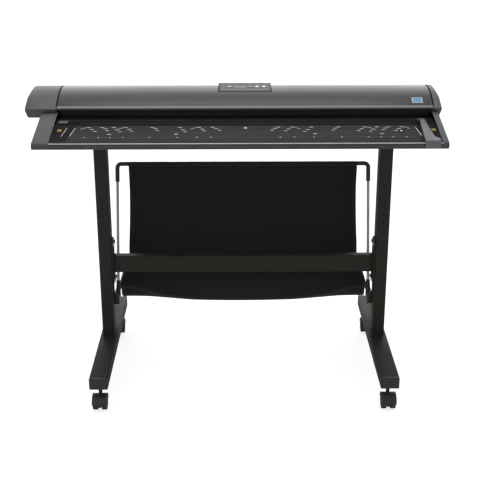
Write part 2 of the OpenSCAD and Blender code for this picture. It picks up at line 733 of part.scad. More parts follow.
// The edge guide: a finger along the bed that widens to a foot and hooks over the front trim
guide_l = bed_r - 87;
guide_r = bed_r - 8;
guide_t = 9;
guide_lift = 0.8;
module edge_guide() color([0.42, 0.44, 0.46]) {
  on_bed() translate([0, 0, guide_lift]) linear_extrude(guide_t) polygon([
    [guide_l + 32, -3.5], [guide_r, -3.5], [guide_r, 18], [guide_r - 8, 24], [guide_r - 14, 36],
    [guide_r - 19, 90], [guide_r - 23, 178], [guide_r - 26, 182], [guide_r - 36, 182], [guide_r - 38, 178],
    [guide_l + 33, 36]
  ]);
  in_unit() block([guide_l + 32, -4, 3], [guide_r, -slide_gap, bed_front_h + 2]);
}

// Lid releases: spring-loaded tabs in the bed's two ends
release_w = 14;
release_l = 20;
release_d = 105;
release_xs = [bed_l + 20, bed_r - 13];
release_up = 3;
release_top = bed_front_h + bed_rise * release_d / bed_run;
module lid_release(i) color([0.85, 0.72, 0.15]) in_unit() translate([release_xs[i], release_d, 0]) {
  block([-release_w / 2, -release_l / 2, 12], [release_w / 2, release_l / 2, release_top + release_up]);
  block([-release_w / 2 + 1, -release_l / 2 - 3, 12], [release_w / 2 - 1, release_l / 2 + 3, 16]);
}
module lid_release_left() lid_release(0);
module lid_release_right() lid_release(1);

module hinge_ear() difference() {
  union() {
    hull() {
      translate([axis_d, axis_h]) circle(r = hinge_r);
      translate([ear_d, ear_h]) square([ear_deep, ear_gap * 4]);
    }
    translate([ear_d, tray_t]) square([ear_deep, ear_h - tray_t + ear_gap]);
  }
  translate([axis_d, axis_h]) circle(d = hinge_pin_dia + 0.02);
}

module hinge_brackets() color(steel) in_unit()
  for (s = [-1, 1]) translate([media_x + s * hinge_span / 2, 0, 0]) {
    for (e = [-1, 1]) along_x(e * (ear_out - ear_w / 2) - ear_w / 2, e * (ear_out - ear_w / 2) + ear_w / 2)
      hinge_ear();
    block([-ear_out, ear_d, tray_t], [ear_out, ear_d + ear_deep, tray_t + 4]);
  }

module hinge_pins() color(steel) in_unit()
  for (s = [-1, 1]) translate([media_x + s * hinge_span / 2, axis_d, axis_h])
    bar_x(-ear_out - 1, ear_out + 1, hinge_pin_dia);

// ---- lid ----

// Everything under the lid's outer skin, cut in by t
module lid_solid(t) intersection() {
  translate(arc_c) circle(r = arc_r - t);
  translate([lip_d + t, lid_rear_h - 60]) square([unit_d - lip_d - 2 * t, 200]);
}

module lid_cover() color(lid_grey) in_unit() difference() {
  along_x(seam_l + seam_gap / 2, seam_r - seam_gap / 2) {
    difference() {
      intersection() {
        lid_solid(0);
        translate([lip_d, lid_rear_h]) square([unit_d, 200]);
      }
      lid_solid(wall);
      translate([lip_d - 1, 0]) square([wall + 1, lip_h - 5]);
    }
    translate([lip_d + 0.2, lip_h - 3.6]) circle(r = 3.4);
  }
  block([media_x - panel_w / 2 + panel_side + 2 - loose, panel_at[0] + 8 - loose, 80],
        [media_x + panel_w / 2 - panel_side - 2 + loose, panel_at[0] + panel_d - 8 + loose, 140]);
}

// A lid end cap: the lid's section cut to the cap's outline seen from the front
module cap_outline(outer, seam, low) {
  s = sign(seam - outer);
  offset(r = 7, $fn = 32) offset(delta = -7) polygon([
    [outer, lip_h - 6], [outer + s * 3, unit_h - 16], [outer + s * 12, unit_h + 4],
    [seam + s * 20, unit_h + 4],
    [seam + s * 20, low], [outer + s * 8, low]
  ]);
}

module lid_cap(outer, seam, cheek_x) {
  s = sign(seam - outer);
  edge = cheek_x - s * cover_gap;
  face = seam - s * seam_gap / 2;
  difference() {
    intersection() {
      along_x(min(outer, face), max(outer, face)) intersection() {
        translate(arc_c) circle(r = arc_r);
        offset(r = 6, $fn = 32) offset(delta = -6) polygon([
          [lip_d - 3, lip_h - 2], [lip_d + 20, unit_h + 20], [unit_d + 2, unit_h + 20],
          [unit_d + 2, pod_under_h], [lip_d + 6, pod_under_h]
        ]);
      }
      along_y(0, 2 * unit_d) cap_outline(outer, seam, pod_under_h);
    }
    along_x(min(outer + s * 2 * wall, face + s), max(outer + s * 2 * wall, face + s)) intersection() {
      translate(arc_c) circle(r = arc_r - wall);
      translate([lip_d + wall + 2, pod_under_h + wall]) square([unit_d - lip_d - 2 * wall - 2, 200]);
    }
    block([min(edge, face + s * 30), -1, -1], [max(edge, face + s * 30), unit_d + 5, cap_under_h]);
  }
}
module lid_cap_left() color(cap_grey) in_unit() lid_cap(x_min, seam_l, cheek_l_x);
module lid_cap_right() color(cap_grey) in_unit() lid_cap(x_max, seam_r, cheek_r_x);

under_l = bed_l + cover_gap + plate_t;
under_r = bed_r - cover_gap - plate_t;

module lid_underside() color(plastic_black) in_unit() {
  difference() {
    union() {
      along_x(under_l, under_r) polygon([
        [under_front + 2.5, lip_h - 3.5], [under_foot, under_h], [under_rear, under_h],
        [under_rear, under_h + under_t], [under_foot + 2, under_h + under_t], [under_front + 5, lip_h - 2]
      ]);
      for (d = roller_ds, x = [under_l, under_r - 4])
        block([x, d - 7, under_h], [x + 4, d + 7, pinch_h + 6]);
    }
    for (d = roller_ds) {
      block([under_l + 6, d - pinch_dia / 2 - 1.5, 0], [under_r - 6, d + pinch_dia / 2 + 1.5, under_h + 9]);
      translate([0, d, pinch_h]) bar_x(under_l - 1, under_r + 1, pinch_shaft + 2 * run_gap);
    }
    block([under_l + 8, scan_d - glass_d / 2 - loose, 0],
          [under_r - 8, scan_d + glass_d / 2 + loose, under_h + 9]);
    for (s = [-1, 1]) block(
      [media_x + s * hinge_span / 2 - ear_out - 0.6, under_rear - 14, 0],
      [media_x + s * hinge_span / 2 + ear_out + 0.6, under_rear + 1, 100]);
  }
  for (s = [-1, 1]) translate([media_x + s * hinge_span / 2, 0, 0]) difference() {
    along_x(-lug_w / 2, lug_w / 2) hull() {
      translate([axis_d, axis_h]) circle(r = hinge_r);
      translate([under_rear - 15, under_h]) square([5, under_t]);
    }
    translate([0, axis_d, axis_h]) bar_x(-lug_w, lug_w, hinge_pin_dia + 2 * run_gap);
  }
}

module scan_glass() color([0.7, 0.85, 0.85, 0.5]) in_unit()
  block([under_l + 9, scan_d - glass_d / 2, glass_h], [under_r - 9, scan_d + glass_d / 2, glass_h + glass_t]);

// Line sensors in two staggered rows above the glass
sensor_n = 5;
sensor_l = bed_w / sensor_n + 12;
sensor_pitch = (bed_w - 30 - sensor_l) / (sensor_n - 1);
module sensor_modules() color([0.25, 0.25, 0.27]) in_unit() for (i = [0:sensor_n - 1])
  translate([bed_l + 15 + i * sensor_pitch, scan_d + (i % 2 == 0 ? -20 : 1), glass_h + glass_t])
    cube([sensor_l, 19, 22]);

module pinch_roller(d) color(rubber) in_unit() translate([0, d, pinch_h]) {
  bar_x(under_l + 0.5, under_r - 0.5, pinch_shaft);
  for (i = [-7:7]) translate([media_x + i * (bed_w - 70) / 15, 0, 0]) bar_x(-28, 28, pinch_dia);
}
module pinch_roller_front() pinch_roller(roller_ds[0]);
module pinch_roller_rear() pinch_roller(roller_ds[1]);

// Raised wedge with a well that holds the keys
module panel_housing() color(plastic_black) difference() {
  union() {
    difference() {
      on_panel() translate([0, 0, -30]) linear_extrude(30) polygon([
        [-panel_w / 2, 0], [panel_w / 2, 0], [panel_w / 2 - 2, panel_d], [-panel_w / 2 + 2, panel_d]
      ]);
      in_unit() along_x(media_x - panel_w, media_x + panel_w) translate(arc_c) circle(r = arc_r);
    }
    difference() {
      in_unit() block([media_x - panel_w / 2 + panel_side + 2, panel_at[0] + 8, unit_h - 6 - panel_well],
                      [media_x + panel_w / 2 - panel_side - 2, panel_at[0] + panel_d - 8, unit_h + 20]);
      on_panel() translate([-panel_w, -panel_d, 0]) cube([2 * panel_w, 3 * panel_d, 40]);
    }
  }
  on_panel() translate([-panel_w / 2 + panel_side + 4, 12, -40])
    cube([panel_w - 2 * panel_side - 8, panel_d - 24, 40 - panel_t]);
  key_holes();
}

module key_holes() on_panel() for (x = key_xs)
  translate([x - key_w / 2 - slide_gap, key_y - key_l / 2 - slide_gap, -panel_t - 1])
    cube([key_w + 2 * slide_gap, key_l + 2 * slide_gap, panel_t + 2]);

module panel_key(i, tint) color(tint) on_panel() translate([key_xs[i], key_y, 0]) {
  translate([0, 0, -panel_t - slide_gap - 0.5]) linear_extrude(panel_t + slide_gap + 0.5 + key_travel + 0.4)
    rounded(key_w, key_l, 2);
  translate([0, 0, -panel_t - slide_gap - key_flange]) linear_extrude(key_flange)
    square([key_w + 4, key_l + 4], center = true);
}
module stop_key() panel_key(0, [0.75, 0.45, 0.45]);
module scan_key() panel_key(1, [0.45, 0.7, 0.5]);
module back_key() panel_key(2, [0.8, 0.8, 0.8]);
module forward_key() panel_key(3, [0.8, 0.8, 0.8]);

foot_left();
foot_right();
foot_end_caps();
column_left();
column_right();
crossbar();
crossbar_brackets();
stand_bolts();
caster_hood_front_left();
caster_hood_front_right();
caster_hood_rear_left();
caster_hood_rear_right();
caster_wheels_front_left();
caster_wheels_front_right();
caster_wheels_rear_left();
caster_wheels_rear_right();
basket_upright_left();
basket_upright_right();
basket_top_bar();
basket_elbows();
basket_sockets();
basket_rear_arms();
basket_rear_bar();
basket_cloth();
base_tray();
side_plates();
bed_plate();
bed_front_trim();
cheek_left();
cheek_right();
rear_cover();
feed_roller_front();
feed_roller_rear();
roller_bearings();
drive_motor();
motor_pulley();
drive_belt();
backing_plate();
main_board();
power_inlet();
data_ports();
power_switch();
edge_guide();
lid_release_left();
lid_release_right();
hinge_brackets();
hinge_pins();
lid_cover();
lid_cap_left();
lid_cap_right();
lid_underside();
scan_glass();
sensor_modules();
pinch_roller_front();
pinch_roller_rear();
panel_housing();
stop_key();
scan_key();
back_key();
forward_key();
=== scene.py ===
import functools
import json
import math
import random

import bmesh
import bpy
from mathutils import Matrix, Vector, noise

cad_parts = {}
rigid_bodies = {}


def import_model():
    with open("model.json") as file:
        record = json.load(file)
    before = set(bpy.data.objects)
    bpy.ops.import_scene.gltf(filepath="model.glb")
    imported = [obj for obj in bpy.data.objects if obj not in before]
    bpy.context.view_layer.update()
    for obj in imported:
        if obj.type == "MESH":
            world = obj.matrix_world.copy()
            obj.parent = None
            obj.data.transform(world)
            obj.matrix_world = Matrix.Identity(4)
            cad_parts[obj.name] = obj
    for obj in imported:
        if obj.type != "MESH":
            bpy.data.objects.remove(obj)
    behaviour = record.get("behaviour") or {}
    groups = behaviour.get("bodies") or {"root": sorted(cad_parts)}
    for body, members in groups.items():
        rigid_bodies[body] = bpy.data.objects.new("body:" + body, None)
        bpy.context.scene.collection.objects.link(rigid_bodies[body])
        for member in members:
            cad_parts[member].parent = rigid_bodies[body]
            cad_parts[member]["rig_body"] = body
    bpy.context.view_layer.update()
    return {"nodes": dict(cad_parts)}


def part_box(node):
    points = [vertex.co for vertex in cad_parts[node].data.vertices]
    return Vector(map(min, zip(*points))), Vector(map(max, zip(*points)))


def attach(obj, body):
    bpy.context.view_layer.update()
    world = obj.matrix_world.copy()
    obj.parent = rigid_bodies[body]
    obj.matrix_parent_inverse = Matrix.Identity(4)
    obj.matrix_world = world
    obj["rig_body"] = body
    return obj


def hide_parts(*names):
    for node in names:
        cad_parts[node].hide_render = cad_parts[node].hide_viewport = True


# A wide sheet-fed scanner on a wheeled stand with a cloth catch basket: the finishes of its parts,
# its sewn sling, and the welds, screws, printing and small fittings on it. Metres, +Z up.

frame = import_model()
scene = bpy.context.scene
draw = random.Random(44)

MM = 0.001
OVERLAP = 0.1 * MM


@functools.cache
def box_of(name):
    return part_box(name)


def low(name):
    return box_of(name)[0]


def high(name):
    return box_of(name)[1]


def centre(name):
    return (low(name) + high(name)) / 2


def half_span(name):
    return (high(name).x - low(name).x) / 2


# The scanner's own frame: depth behind the bed's front edge, height above its underside
UNIT_Y = low("bed_front_trim").y
UNIT_Z = low("bed_front_trim").z
BED_LEFT = low("bed_front_trim").x
BED_RIGHT = high("bed_front_trim").x
SHEET_X = (BED_LEFT + BED_RIGHT) / 2

# The sloping bed: where the plate starts behind the trim, where it turns, and the slight rise after that
BED_START = (9.5 * MM, 18.6 * MM)
BED_TURN = (145 * MM, 38 * MM)
BED_ANGLE = math.atan2(BED_TURN[1] - BED_START[1], BED_TURN[0] - BED_START[0])
LEVEL_ANGLE = math.atan2(4, 45)

# The lid's arc runs from the lip to the crest
LIP = (222 * MM, 78 * MM)
CREST = (355 * MM, 120 * MM)
LID_DROP = CREST[1] - LIP[1]
LID_RADIUS = ((CREST[0] - LIP[0]) ** 2 + LID_DROP ** 2) / (2 * LID_DROP)
LID_AXIS = Vector((0, UNIT_Y + CREST[0], UNIT_Z + CREST[1] - LID_RADIUS))

# The control panel: its slope, and how far up it the row of keys is
PANEL_DEEP = 76 * MM
PANEL_ANGLE = math.atan2(13.4 * MM, PANEL_DEEP)
KEY_ROW = 41 * MM

CORNERS = ("front_left", "front_right", "rear_left", "rear_right")


def bed_place(x, along, up=0.0):
    """A matrix that sets a piece down on the sloping bed, along from where the plate starts."""
    start = Matrix.Translation((x, UNIT_Y + BED_START[0], UNIT_Z + BED_START[1]))
    return start @ Matrix.Rotation(BED_ANGLE, 4, "X") @ Matrix.Translation((0, along, up))


def panel_place(x, along, up=0.0):
    """A matrix that sets a piece down on the control panel's face."""
    front = Vector((SHEET_X, low("panel_housing").y, high("panel_housing").z))
    front.z -= PANEL_DEEP * math.sin(PANEL_ANGLE)
    slope = Matrix.Rotation(PANEL_ANGLE, 4, "X")
    return Matrix.Translation(front) @ slope @ Matrix.Translation((x, along, up))


# ---- node helpers ----


def node(tree, kind, inputs=None, **settings):
    """Adds a shader node; an input is a number or colour, or another node's socket to link from."""
    made = tree.nodes.new("ShaderNode" + kind)
    for name, value in settings.items():
        setattr(made, name, value)
    for name, value in (inputs or {}).items():
        if isinstance(value, bpy.types.NodeSocket):
            tree.links.new(value, made.inputs[name])
        else:
            made.inputs[name].default_value = value
    return made


def math_of(tree, operation, a, b=0.0, clamp=False):
    return node(tree, "Math", {0: a, 1: b}, operation=operation, use_clamp=clamp).outputs[0]


def ramp(tree, value, start, end, out_start=0.0, out_end=1.0):
    sockets = {"Value": value, "From Min": start, "From Max": end, "To Min": out_start, "To Max": out_end}
    return node(tree, "MapRange", sockets).outputs["Result"]


def blend_colour(tree, mask, first, second):
    mix = node(tree, "Mix", data_type="RGBA")
    for name, value in (("Factor_Float", mask), ("A_Color", first), ("B_Color", second)):
        socket = next(s for s in mix.inputs if s.identifier == name)
        if isinstance(value, bpy.types.NodeSocket):
            tree.links.new(value, socket)
        else:
            socket.default_value = value
    return next(s for s in mix.outputs if s.identifier == "Result_Color")


def noise_of(tree, vector, scale, detail=3.0, roughness=0.55):
    sockets = {"Vector": vector, "Scale": scale, "Detail": detail, "Roughness": roughness}
    return node(tree, "TexNoise", sockets).outputs[0]


def effect(name, inputs, outputs):
    """An empty node group with named number sockets: (its tree, its input node, its output node)."""
    tree = bpy.data.node_groups.new(name, "ShaderNodeTree")
    for socket, value in inputs.items():
        made = tree.interface.new_socket(name=socket, in_out="INPUT", socket_type="NodeSocketFloat")
        made.default_value = value
    for socket in outputs:
        tree.interface.new_socket(name=socket, in_out="OUTPUT", socket_type="NodeSocketFloat")
    return tree, tree.nodes.new("NodeGroupInput"), tree.nodes.new("NodeGroupOutput")


def make_grain():
    """Spark-eroded mould grain or powder coat: Height for a bump, and Patch for slow changes of tone."""
    tree, given, result = effect("Surface grain", {"Scale": 900.0}, ("Height", "Patch"))
    place = node(tree, "TexCoord").outputs["Object"]
    fine = noise_of(tree, place, given.outputs["Scale"], 3.0, 0.6)
    cells = node(tree, "TexVoronoi", {"Vector": place, "Scale": given.outputs["Scale"]}, feature="SMOOTH_F1")
    both = math_of(tree, "MULTIPLY_ADD", fine, 0.65)
    tree.links.new(math_of(tree, "MULTIPLY", cells.outputs["Distance"], 0.35), both.node.inputs[2])
    tree.links.new(both, result.inputs["Height"])
    patch = ramp(tree, noise_of(tree, place, 7.0, 5.0, 0.6), 0.3, 0.7)
    tree.links.new(patch, result.inputs["Patch"])
    return tree


def make_edge_wear():
    """Rubbed corners: a mask on the rounded edges, broken up where the finish still holds."""
    tree, given, result = effect("Rubbed edges", {"Amount": 0.5}, ("Mask",))
    place = node(tree, "TexCoord").outputs["Object"]
    edge = node(tree, "Attribute", attribute_name="edge").outputs["Fac"]
    broken = noise_of(tree, place, 85.0, 6.0, 0.7)
    rubbed = ramp(tree, broken, 0.42, 0.62)
    mask = math_of(tree, "MULTIPLY", edge, rubbed)
    tree.links.new(math_of(tree, "MULTIPLY", mask, given.outputs["Amount"], True), result.inputs["Mask"])
    return tree


def make_dust():
    """Settled dust: a mask on faces that look up, thicker in patches and specked."""
    tree, given, result = effect("Settled dust", {"Amount": 0.15}, ("Mask",))
    coords = node(tree, "TexCoord")
    up = node(tree, "SeparateXYZ", {0: coords.outputs["Normal"]}).outputs["Z"]
    facing = ramp(tree, up, 0.55, 1.0)
    cloud = ramp(tree, noise_of(tree, coords.outputs["Object"], 11.0, 6.0, 0.65), 0.35, 0.75)
    specks = ramp(tree, noise_of(tree, coords.outputs["Object"], 620.0, 2.0, 0.5), 0.62, 0.72)
    both = math_of(tree, "ADD", cloud, math_of(tree, "MULTIPLY", specks, 0.5))
    mask = math_of(tree, "MULTIPLY", both, facing)
    tree.links.new(math_of(tree, "MULTIPLY", mask, given.outputs["Amount"], True), result.inputs["Mask"])
    return tree


def make_brushing():
    """Drawn or brushed metal: long fine lines along X."""
    tree, given, result = effect("Drawn lines", {"Scale": 700.0}, ("Height", "Tone"))
    place = node(tree, "TexCoord").outputs["Object"]
    stretched = node(tree, "Mapping", {"Vector": place, "Scale": (0.02, 1.0, 1.0)}).outputs[0]
    lines = noise_of(tree, stretched, given.outputs["Scale"], 4.0, 0.7)
    tree.links.new(lines, result.inputs["Height"])
    wide = ramp(tree, noise_of(tree, place, 14.0, 4.0, 0.6), 0.3, 0.7)
    tree.links.new(wide, result.inputs["Tone"])
    return tree


def make_weave():
    """Plain weave on the cloth's own cut, in metres: over and under threads, and slubs along them."""
    tree, given, result = effect("Plain weave", {"Pitch": 0.0011}, ("Height", "Slub"))
    cut = node(tree, "UVMap", uv_map="cut").outputs[0]
    split = node(tree, "SeparateXYZ", {0: cut})
    warp = math_of(tree, "DIVIDE", split.outputs["X"], given.outputs["Pitch"])
    weft = math_of(tree, "DIVIDE", split.outputs["Y"], given.outputs["Pitch"])
    rounds = []
    for thread in (warp, weft):
        wave = math_of(tree, "SINE", math_of(tree, "MULTIPLY", thread, math.pi))
        rounds.append(math_of(tree, "ABSOLUTE", wave))
    total = math_of(tree, "ADD", math_of(tree, "FLOOR", warp), math_of(tree, "FLOOR", weft))
    over = math_of(tree, "PINGPONG", total, 1.0)
    under = math_of(tree, "SUBTRACT", 1.0, over)
    first = math_of(tree, "MULTIPLY", rounds[0], over)
    second = math_of(tree, "MULTIPLY", rounds[1], under)
    tree.links.new(math_of(tree, "ADD", first, second), result.inputs["Height"])
    long = node(tree, "Mapping", {"Vector": cut, "Scale": (1.0, 0.05, 1.0)}).outputs[0]
    slub = ramp(tree, noise_of(tree, long, 900.0, 3.0, 0.6), 0.35, 0.7)
    tree.links.new(slub, result.inputs["Slub"])
    return tree


GRAIN = make_grain()
EDGE_WEAR = make_edge_wear()
DUST = make_dust()
BRUSHING = make_brushing()
WEAVE = make_weave()


def use(tree, group, **values):
    made = tree.nodes.new("ShaderNodeGroup")
    made.node_tree = group
    for name, value in values.items():
        made.inputs[name].default_value = value
    return made


def grey(level, warm=0.0):
    """A near-neutral colour; warm above 0 leans to brown, below 0 to blue."""
    return (level * (1 + warm), level, level * (1 - warm), 1.0)


def blank_material(name, colour, **sockets):
    material = bpy.data.materials.new(name)
    material.use_nodes = True
    material.diffuse_color = colour
    shader = material.node_tree.nodes["Principled BSDF"]
    shader.inputs["Base Color"].default_value = colour
    for socket, value in sockets.items():
        shader.inputs[socket.replace("_", " ")].default_value = value
    return material, material.node_tree, shader


def bump(tree, shader, height, distance, strength=1.0):
    made = node(tree, "Bump", {"Height": height, "Distance": distance, "Strength": strength})
    tree.links.new(made.outputs["Normal"], shader.inputs["Normal"])


def covered(name, colour, shade, roughness, grain, depth, worn=None, wear=0.0, dust=0.0, **sockets):
    """Paint, powder coat or moulded plastic: two close tones in patches, grain, rubbed edges and dust.
    roughness is (lowest, highest); grain is cells per metre and depth their height in metres."""
    material, tree, shader = blank_material(name, colour, **sockets)
    grains = use(tree, GRAIN, Scale=grain)
    tone = blend_colour(tree, grains.outputs["Patch"], colour, shade)
    rough = ramp(tree, grains.outputs["Patch"], 0.0, 1.0, *roughness)
    if worn:
        rub = use(tree, EDGE_WEAR, Amount=wear).outputs["Mask"]
        tone = blend_colour(tree, rub, tone, worn)
        rough = math_of(tree, "SUBTRACT", rough, math_of(tree, "MULTIPLY", rub, 0.12), True)
    if dust:
        settled = use(tree, DUST, Amount=dust).outputs["Mask"]
        tone = blend_colour(tree, settled, tone, grey(0.42, 0.04))
        rough = math_of(tree, "ADD", rough, math_of(tree, "MULTIPLY", settled, 0.6), True)
    tree.links.new(tone, shader.inputs["Base Color"])
    tree.links.new(rough, shader.inputs["Roughness"])
    bump(tree, shader, grains.outputs["Height"], depth)
    return material


def metal(name, colour, shade, roughness, lines=700.0, depth=0.00002, **sockets):
    """Bare or plated metal with drawn lines and cloudy tone."""
    material, tree, shader = blank_material(name, colour, Metallic=1.0, **sockets)
    drawn = use(tree, BRUSHING, Scale=lines)
    tone = blend_colour(tree, drawn.outputs["Tone"], colour, shade)
    rub = use(tree, EDGE_WEAR, Amount=0.5).outputs["Mask"]
    tree.links.new(blend_colour(tree, rub, tone, grey(0.8)), shader.inputs["Base Color"])
    tree.links.new(ramp(tree, drawn.outputs["Height"], 0.3, 0.7, *roughness), shader.inputs["Roughness"])
    bump(tree, shader, drawn.outputs["Height"], depth)
    return material


# ---- finishes ----

powder_black = covered("powder_coat_black", (0.031, 0.032, 0.0255, 1), (0.037, 0.038, 0.031, 1), (0.46, 0.6),
                       1100, 0.00006, grey(0.08, 0.03), 0.6, 0.02, Specular_IOR_Level=0.25)
moulded_black = covered("moulded_black", (0.042, 0.043, 0.037, 1), (0.050, 0.051, 0.044, 1), (0.38, 0.52),
                        1500, 0.00003, grey(0.055), 0.7, 0.08)
lid_enamel = covered("lid_enamel", (0.062, 0.062, 0.069, 1), (0.071, 0.071, 0.079, 1), (0.3, 0.37),
                     1400, 0.000015, grey(0.3, -0.02), 0.7, 0.03, Coat_Weight=0.25, Coat_Roughness=0.22)
# Pale paint for the strip on the lid's lip: a painted highlight for the light that the rolled edge reflects.
lip_highlight_paint = covered("lip_highlight_paint", grey(0.3, -0.03), grey(0.34, -0.03), (0.28, 0.36), 1400, 0.00001,
                     grey(0.45, -0.02), 0.5)
cap_plastic = covered("cap_plastic", (0.112, 0.121, 0.127, 1), (0.126, 0.135, 0.142, 1), (0.34, 0.44), 1300,
                      0.00003, grey(0.24, -0.04), 0.6, 0.04)
cheek_plastic = covered("cheek_plastic", (0.082, 0.087, 0.096, 1), (0.093, 0.098, 0.108, 1), (0.4, 0.5), 1300,
                        0.00003, grey(0.22, -0.04), 0.7, 0.04)
bed_enamel = covered("bed_enamel", grey(0.032), grey(0.038), (0.5, 0.6), 1200, 0.00002,
                     grey(0.09), 0.6, 0.02, Specular_IOR_Level=0.12)
trim_paint = covered("trim_paint", grey(0.066, 0.01), grey(0.076, 0.01), (0.36, 0.46), 1000, 0.00002,
                     grey(0.3), 0.8, 0.04)
guide_plastic = covered("guide_plastic", (0.19, 0.2, 0.22, 1), (0.215, 0.225, 0.25, 1), (0.36, 0.5),
                        1500, 0.00003, grey(0.28, -0.03), 0.6, 0.05)
release_plastic = covered("release_yellow", (0.42, 0.29, 0.035, 1), (0.48, 0.34, 0.05, 1), (0.34, 0.46), 1500,
                          0.00002, (0.8, 0.66, 0.22, 1), 0.5)
white_backing = covered("white_backing", grey(0.78), grey(0.84), (0.3, 0.4), 1500, 0.00001,
                        grey(0.9), 0.3, 0.05)
board_green = covered("board_green", (0.015, 0.12, 0.05, 1), (0.02, 0.16, 0.06, 1), (0.25, 0.4), 700, 0.00008,
                      (0.5, 0.38, 0.1, 1), 0.7)
sensor_plastic = covered("sensor_plastic", grey(0.045, -0.03), grey(0.055, -0.03), (0.3, 0.42), 1500, 0.00002,
                         grey(0.12), 0.5)
roller_rubber = covered("roller_rubber", grey(0.035, 0.02), grey(0.05, 0.02), (0.62, 0.8), 1800, 0.00006)
belt_rubber = covered("belt_rubber", grey(0.02), grey(0.028), (0.6, 0.75), 2000, 0.00005)
tyre_rubber = covered("tyre_rubber", grey(0.045, 0.03), grey(0.06, 0.03), (0.5, 0.7), 1500, 0.00006,
                      grey(0.13, 0.05), 0.9, 0.1)
key_red = covered("key_red", (0.36, 0.24, 0.26, 1), (0.42, 0.29, 0.31, 1), (0.3, 0.4), 1800, 0.00001)
key_green = covered("key_green", (0.20, 0.27, 0.23, 1), (0.24, 0.32, 0.27, 1), (0.3, 0.4), 1800, 0.00001)
key_white = covered("key_white", grey(0.42, -0.03), grey(0.5, -0.03), (0.28, 0.38), 1800, 0.00001)
print_white = covered("printed_white", grey(0.82), grey(0.9), (0.4, 0.5), 2200, 0.000005)
# Grey for the rules printed on the bed, and for a line at its back that is a painted highlight on an edge.
grey_print_and_highlight = covered("printed_grey_and_highlight", grey(0.10), grey(0.14), (0.4, 0.5), 2200, 0.000005)
# Near-black for small dark parts and print, and for the strips of painted shade in the lid's joints.
near_black_and_seam_shade = covered("near_black_and_seam_shade", grey(0.007, 0.08), grey(0.009, 0.08), (0.6, 0.75), 1600, 0.00004,
                     Specular_IOR_Level=0.15)
overlay_film = covered("panel_film", (0.040, 0.046, 0.045, 1), (0.048, 0.055, 0.054, 1), (0.3, 0.38),
                       1900, 0.00001, Coat_Weight=0.3, Coat_Roughness=0.15)
window_print = covered("window_print", (0.38, 0.43, 0.41, 1), (0.46, 0.51, 0.48, 1), (0.3, 0.4),
                       2000, 0.000005)
sticker_white = covered("sticker_white", grey(0.75, -0.03), grey(0.85, -0.03), (0.3, 0.4), 1800, 0.000005)
sticker_blue = covered("sticker_blue", (0.16, 0.46, 0.72, 1), (0.22, 0.55, 0.8, 1), (0.28, 0.38),
                       1800, 0.000005)
label_silver = covered("label_silver", grey(0.5), grey(0.58), (0.3, 0.42), 1800, 0.000005, Metallic=0.7)

rod_metal = metal("rod_satin_steel", grey(0.62), grey(0.72), (0.45, 0.6))
zinc_plate = metal("zinc_plate", (0.55, 0.56, 0.55, 1), (0.66, 0.65, 0.58, 1), (0.3, 0.5), 500)
galvanised = metal("galvanised_sheet", (0.5, 0.52, 0.53, 1), (0.62, 0.63, 0.64, 1), (0.35, 0.55),
                   260, 0.00004)
# Bright metal for the strip on the front trim: it stands in for the highlight on the trim's rounded upper
# edge.
trim_highlight_metal = metal("trim_edge_highlight_metal", grey(0.8), grey(0.88), (0.4, 0.55), 800)


def make_cloth(name, colour, shade):
    """Dense black basket cloth with a dull sheen, and the crowns of its threads painted lighter: a painted
    highlight, patchy with the slubs.
    """
    material, tree, shader = blank_material(name, colour, Roughness=0.88, Sheen_Weight=0.18,
                                            Sheen_Roughness=0.45, Specular_IOR_Level=0.2)
    woven = use(tree, WEAVE, Pitch=0.0011)
    patch = use(tree, GRAIN, Scale=700.0).outputs["Patch"]
    deep = blend_colour(tree, patch, colour, shade)
    # The raised crowns of the threads, where slubs fall, are painted lighter: a painted highlight on the
    # weave.
    thread = math_of(tree, "MULTIPLY", woven.outputs["Slub"], woven.outputs["Height"])
    lit = blend_colour(tree, math_of(tree, "MULTIPLY", thread, 0.4), deep, grey(0.045, 0.08))
    tree.links.new(lit, shader.inputs["Base Color"])
    bump(tree, shader, woven.outputs["Height"], 0.0002, 0.6)
    return material


def make_glass():
    """Green-edged scanner glass with the faintest smears."""
    material, tree, shader = blank_material("scan_glass", (0.75, 0.9, 0.86, 1), IOR=1.5,
                                            Transmission_Weight=1.0)
    smear = use(tree, GRAIN, Scale=60.0)
    tree.links.new(ramp(tree, smear.outputs["Patch"], 0.0, 1.0, 0.02, 0.09), shader.inputs["Roughness"])
    return material


def make_lamp(name, colour, strength):
    """A lit legend behind a diffusing key, its brightness mottled by the grain."""
    material, tree, shader = blank_material(name, colour, Roughness=0.4, Emission_Strength=strength)
    grains = use(tree, GRAIN, Scale=400.0)
    dim = tuple(0.8 * c for c in colour[:3]) + (1.0,)
    tree.links.new(blend_colour(tree, grains.outputs["Height"], dim, colour), shader.inputs["Emission Color"])
    return material


basket_fabric = make_cloth("basket_fabric", (0.029, 0.0243, 0.0237, 1), (0.0255, 0.0255, 0.021, 1))
hem_fabric = make_cloth("hem_fabric", (0.029, 0.028, 0.025, 1), (0.034, 0.034, 0.029, 1))
thread_black = covered("thread_black", grey(0.03, 0.05), grey(0.045, 0.05), (0.6, 0.8), 2500, 0.00005)
glass = make_glass()
lamp_white = make_lamp("lamp_white", (0.85, 0.93, 1.0, 1), 1.3)
lamp_red = make_lamp("lamp_red", (0.85, 0.68, 0.71, 1), 0.5)
lamp_green = make_lamp("lamp_green", (0.58, 0.7, 0.64, 1), 0.4)


# ---- mesh helpers ----

# Edges turned by more than the first are rounded; faces turned by less than the second are one face
HARD_ANGLE = math.radians(30)
FLAT_ANGLE = math.radians(0.6)


def put(name, data):
    """A new object with that data, in the scene."""
    made = bpy.data.objects.new(name, data)
    scene.collection.objects.link(made)
    return made


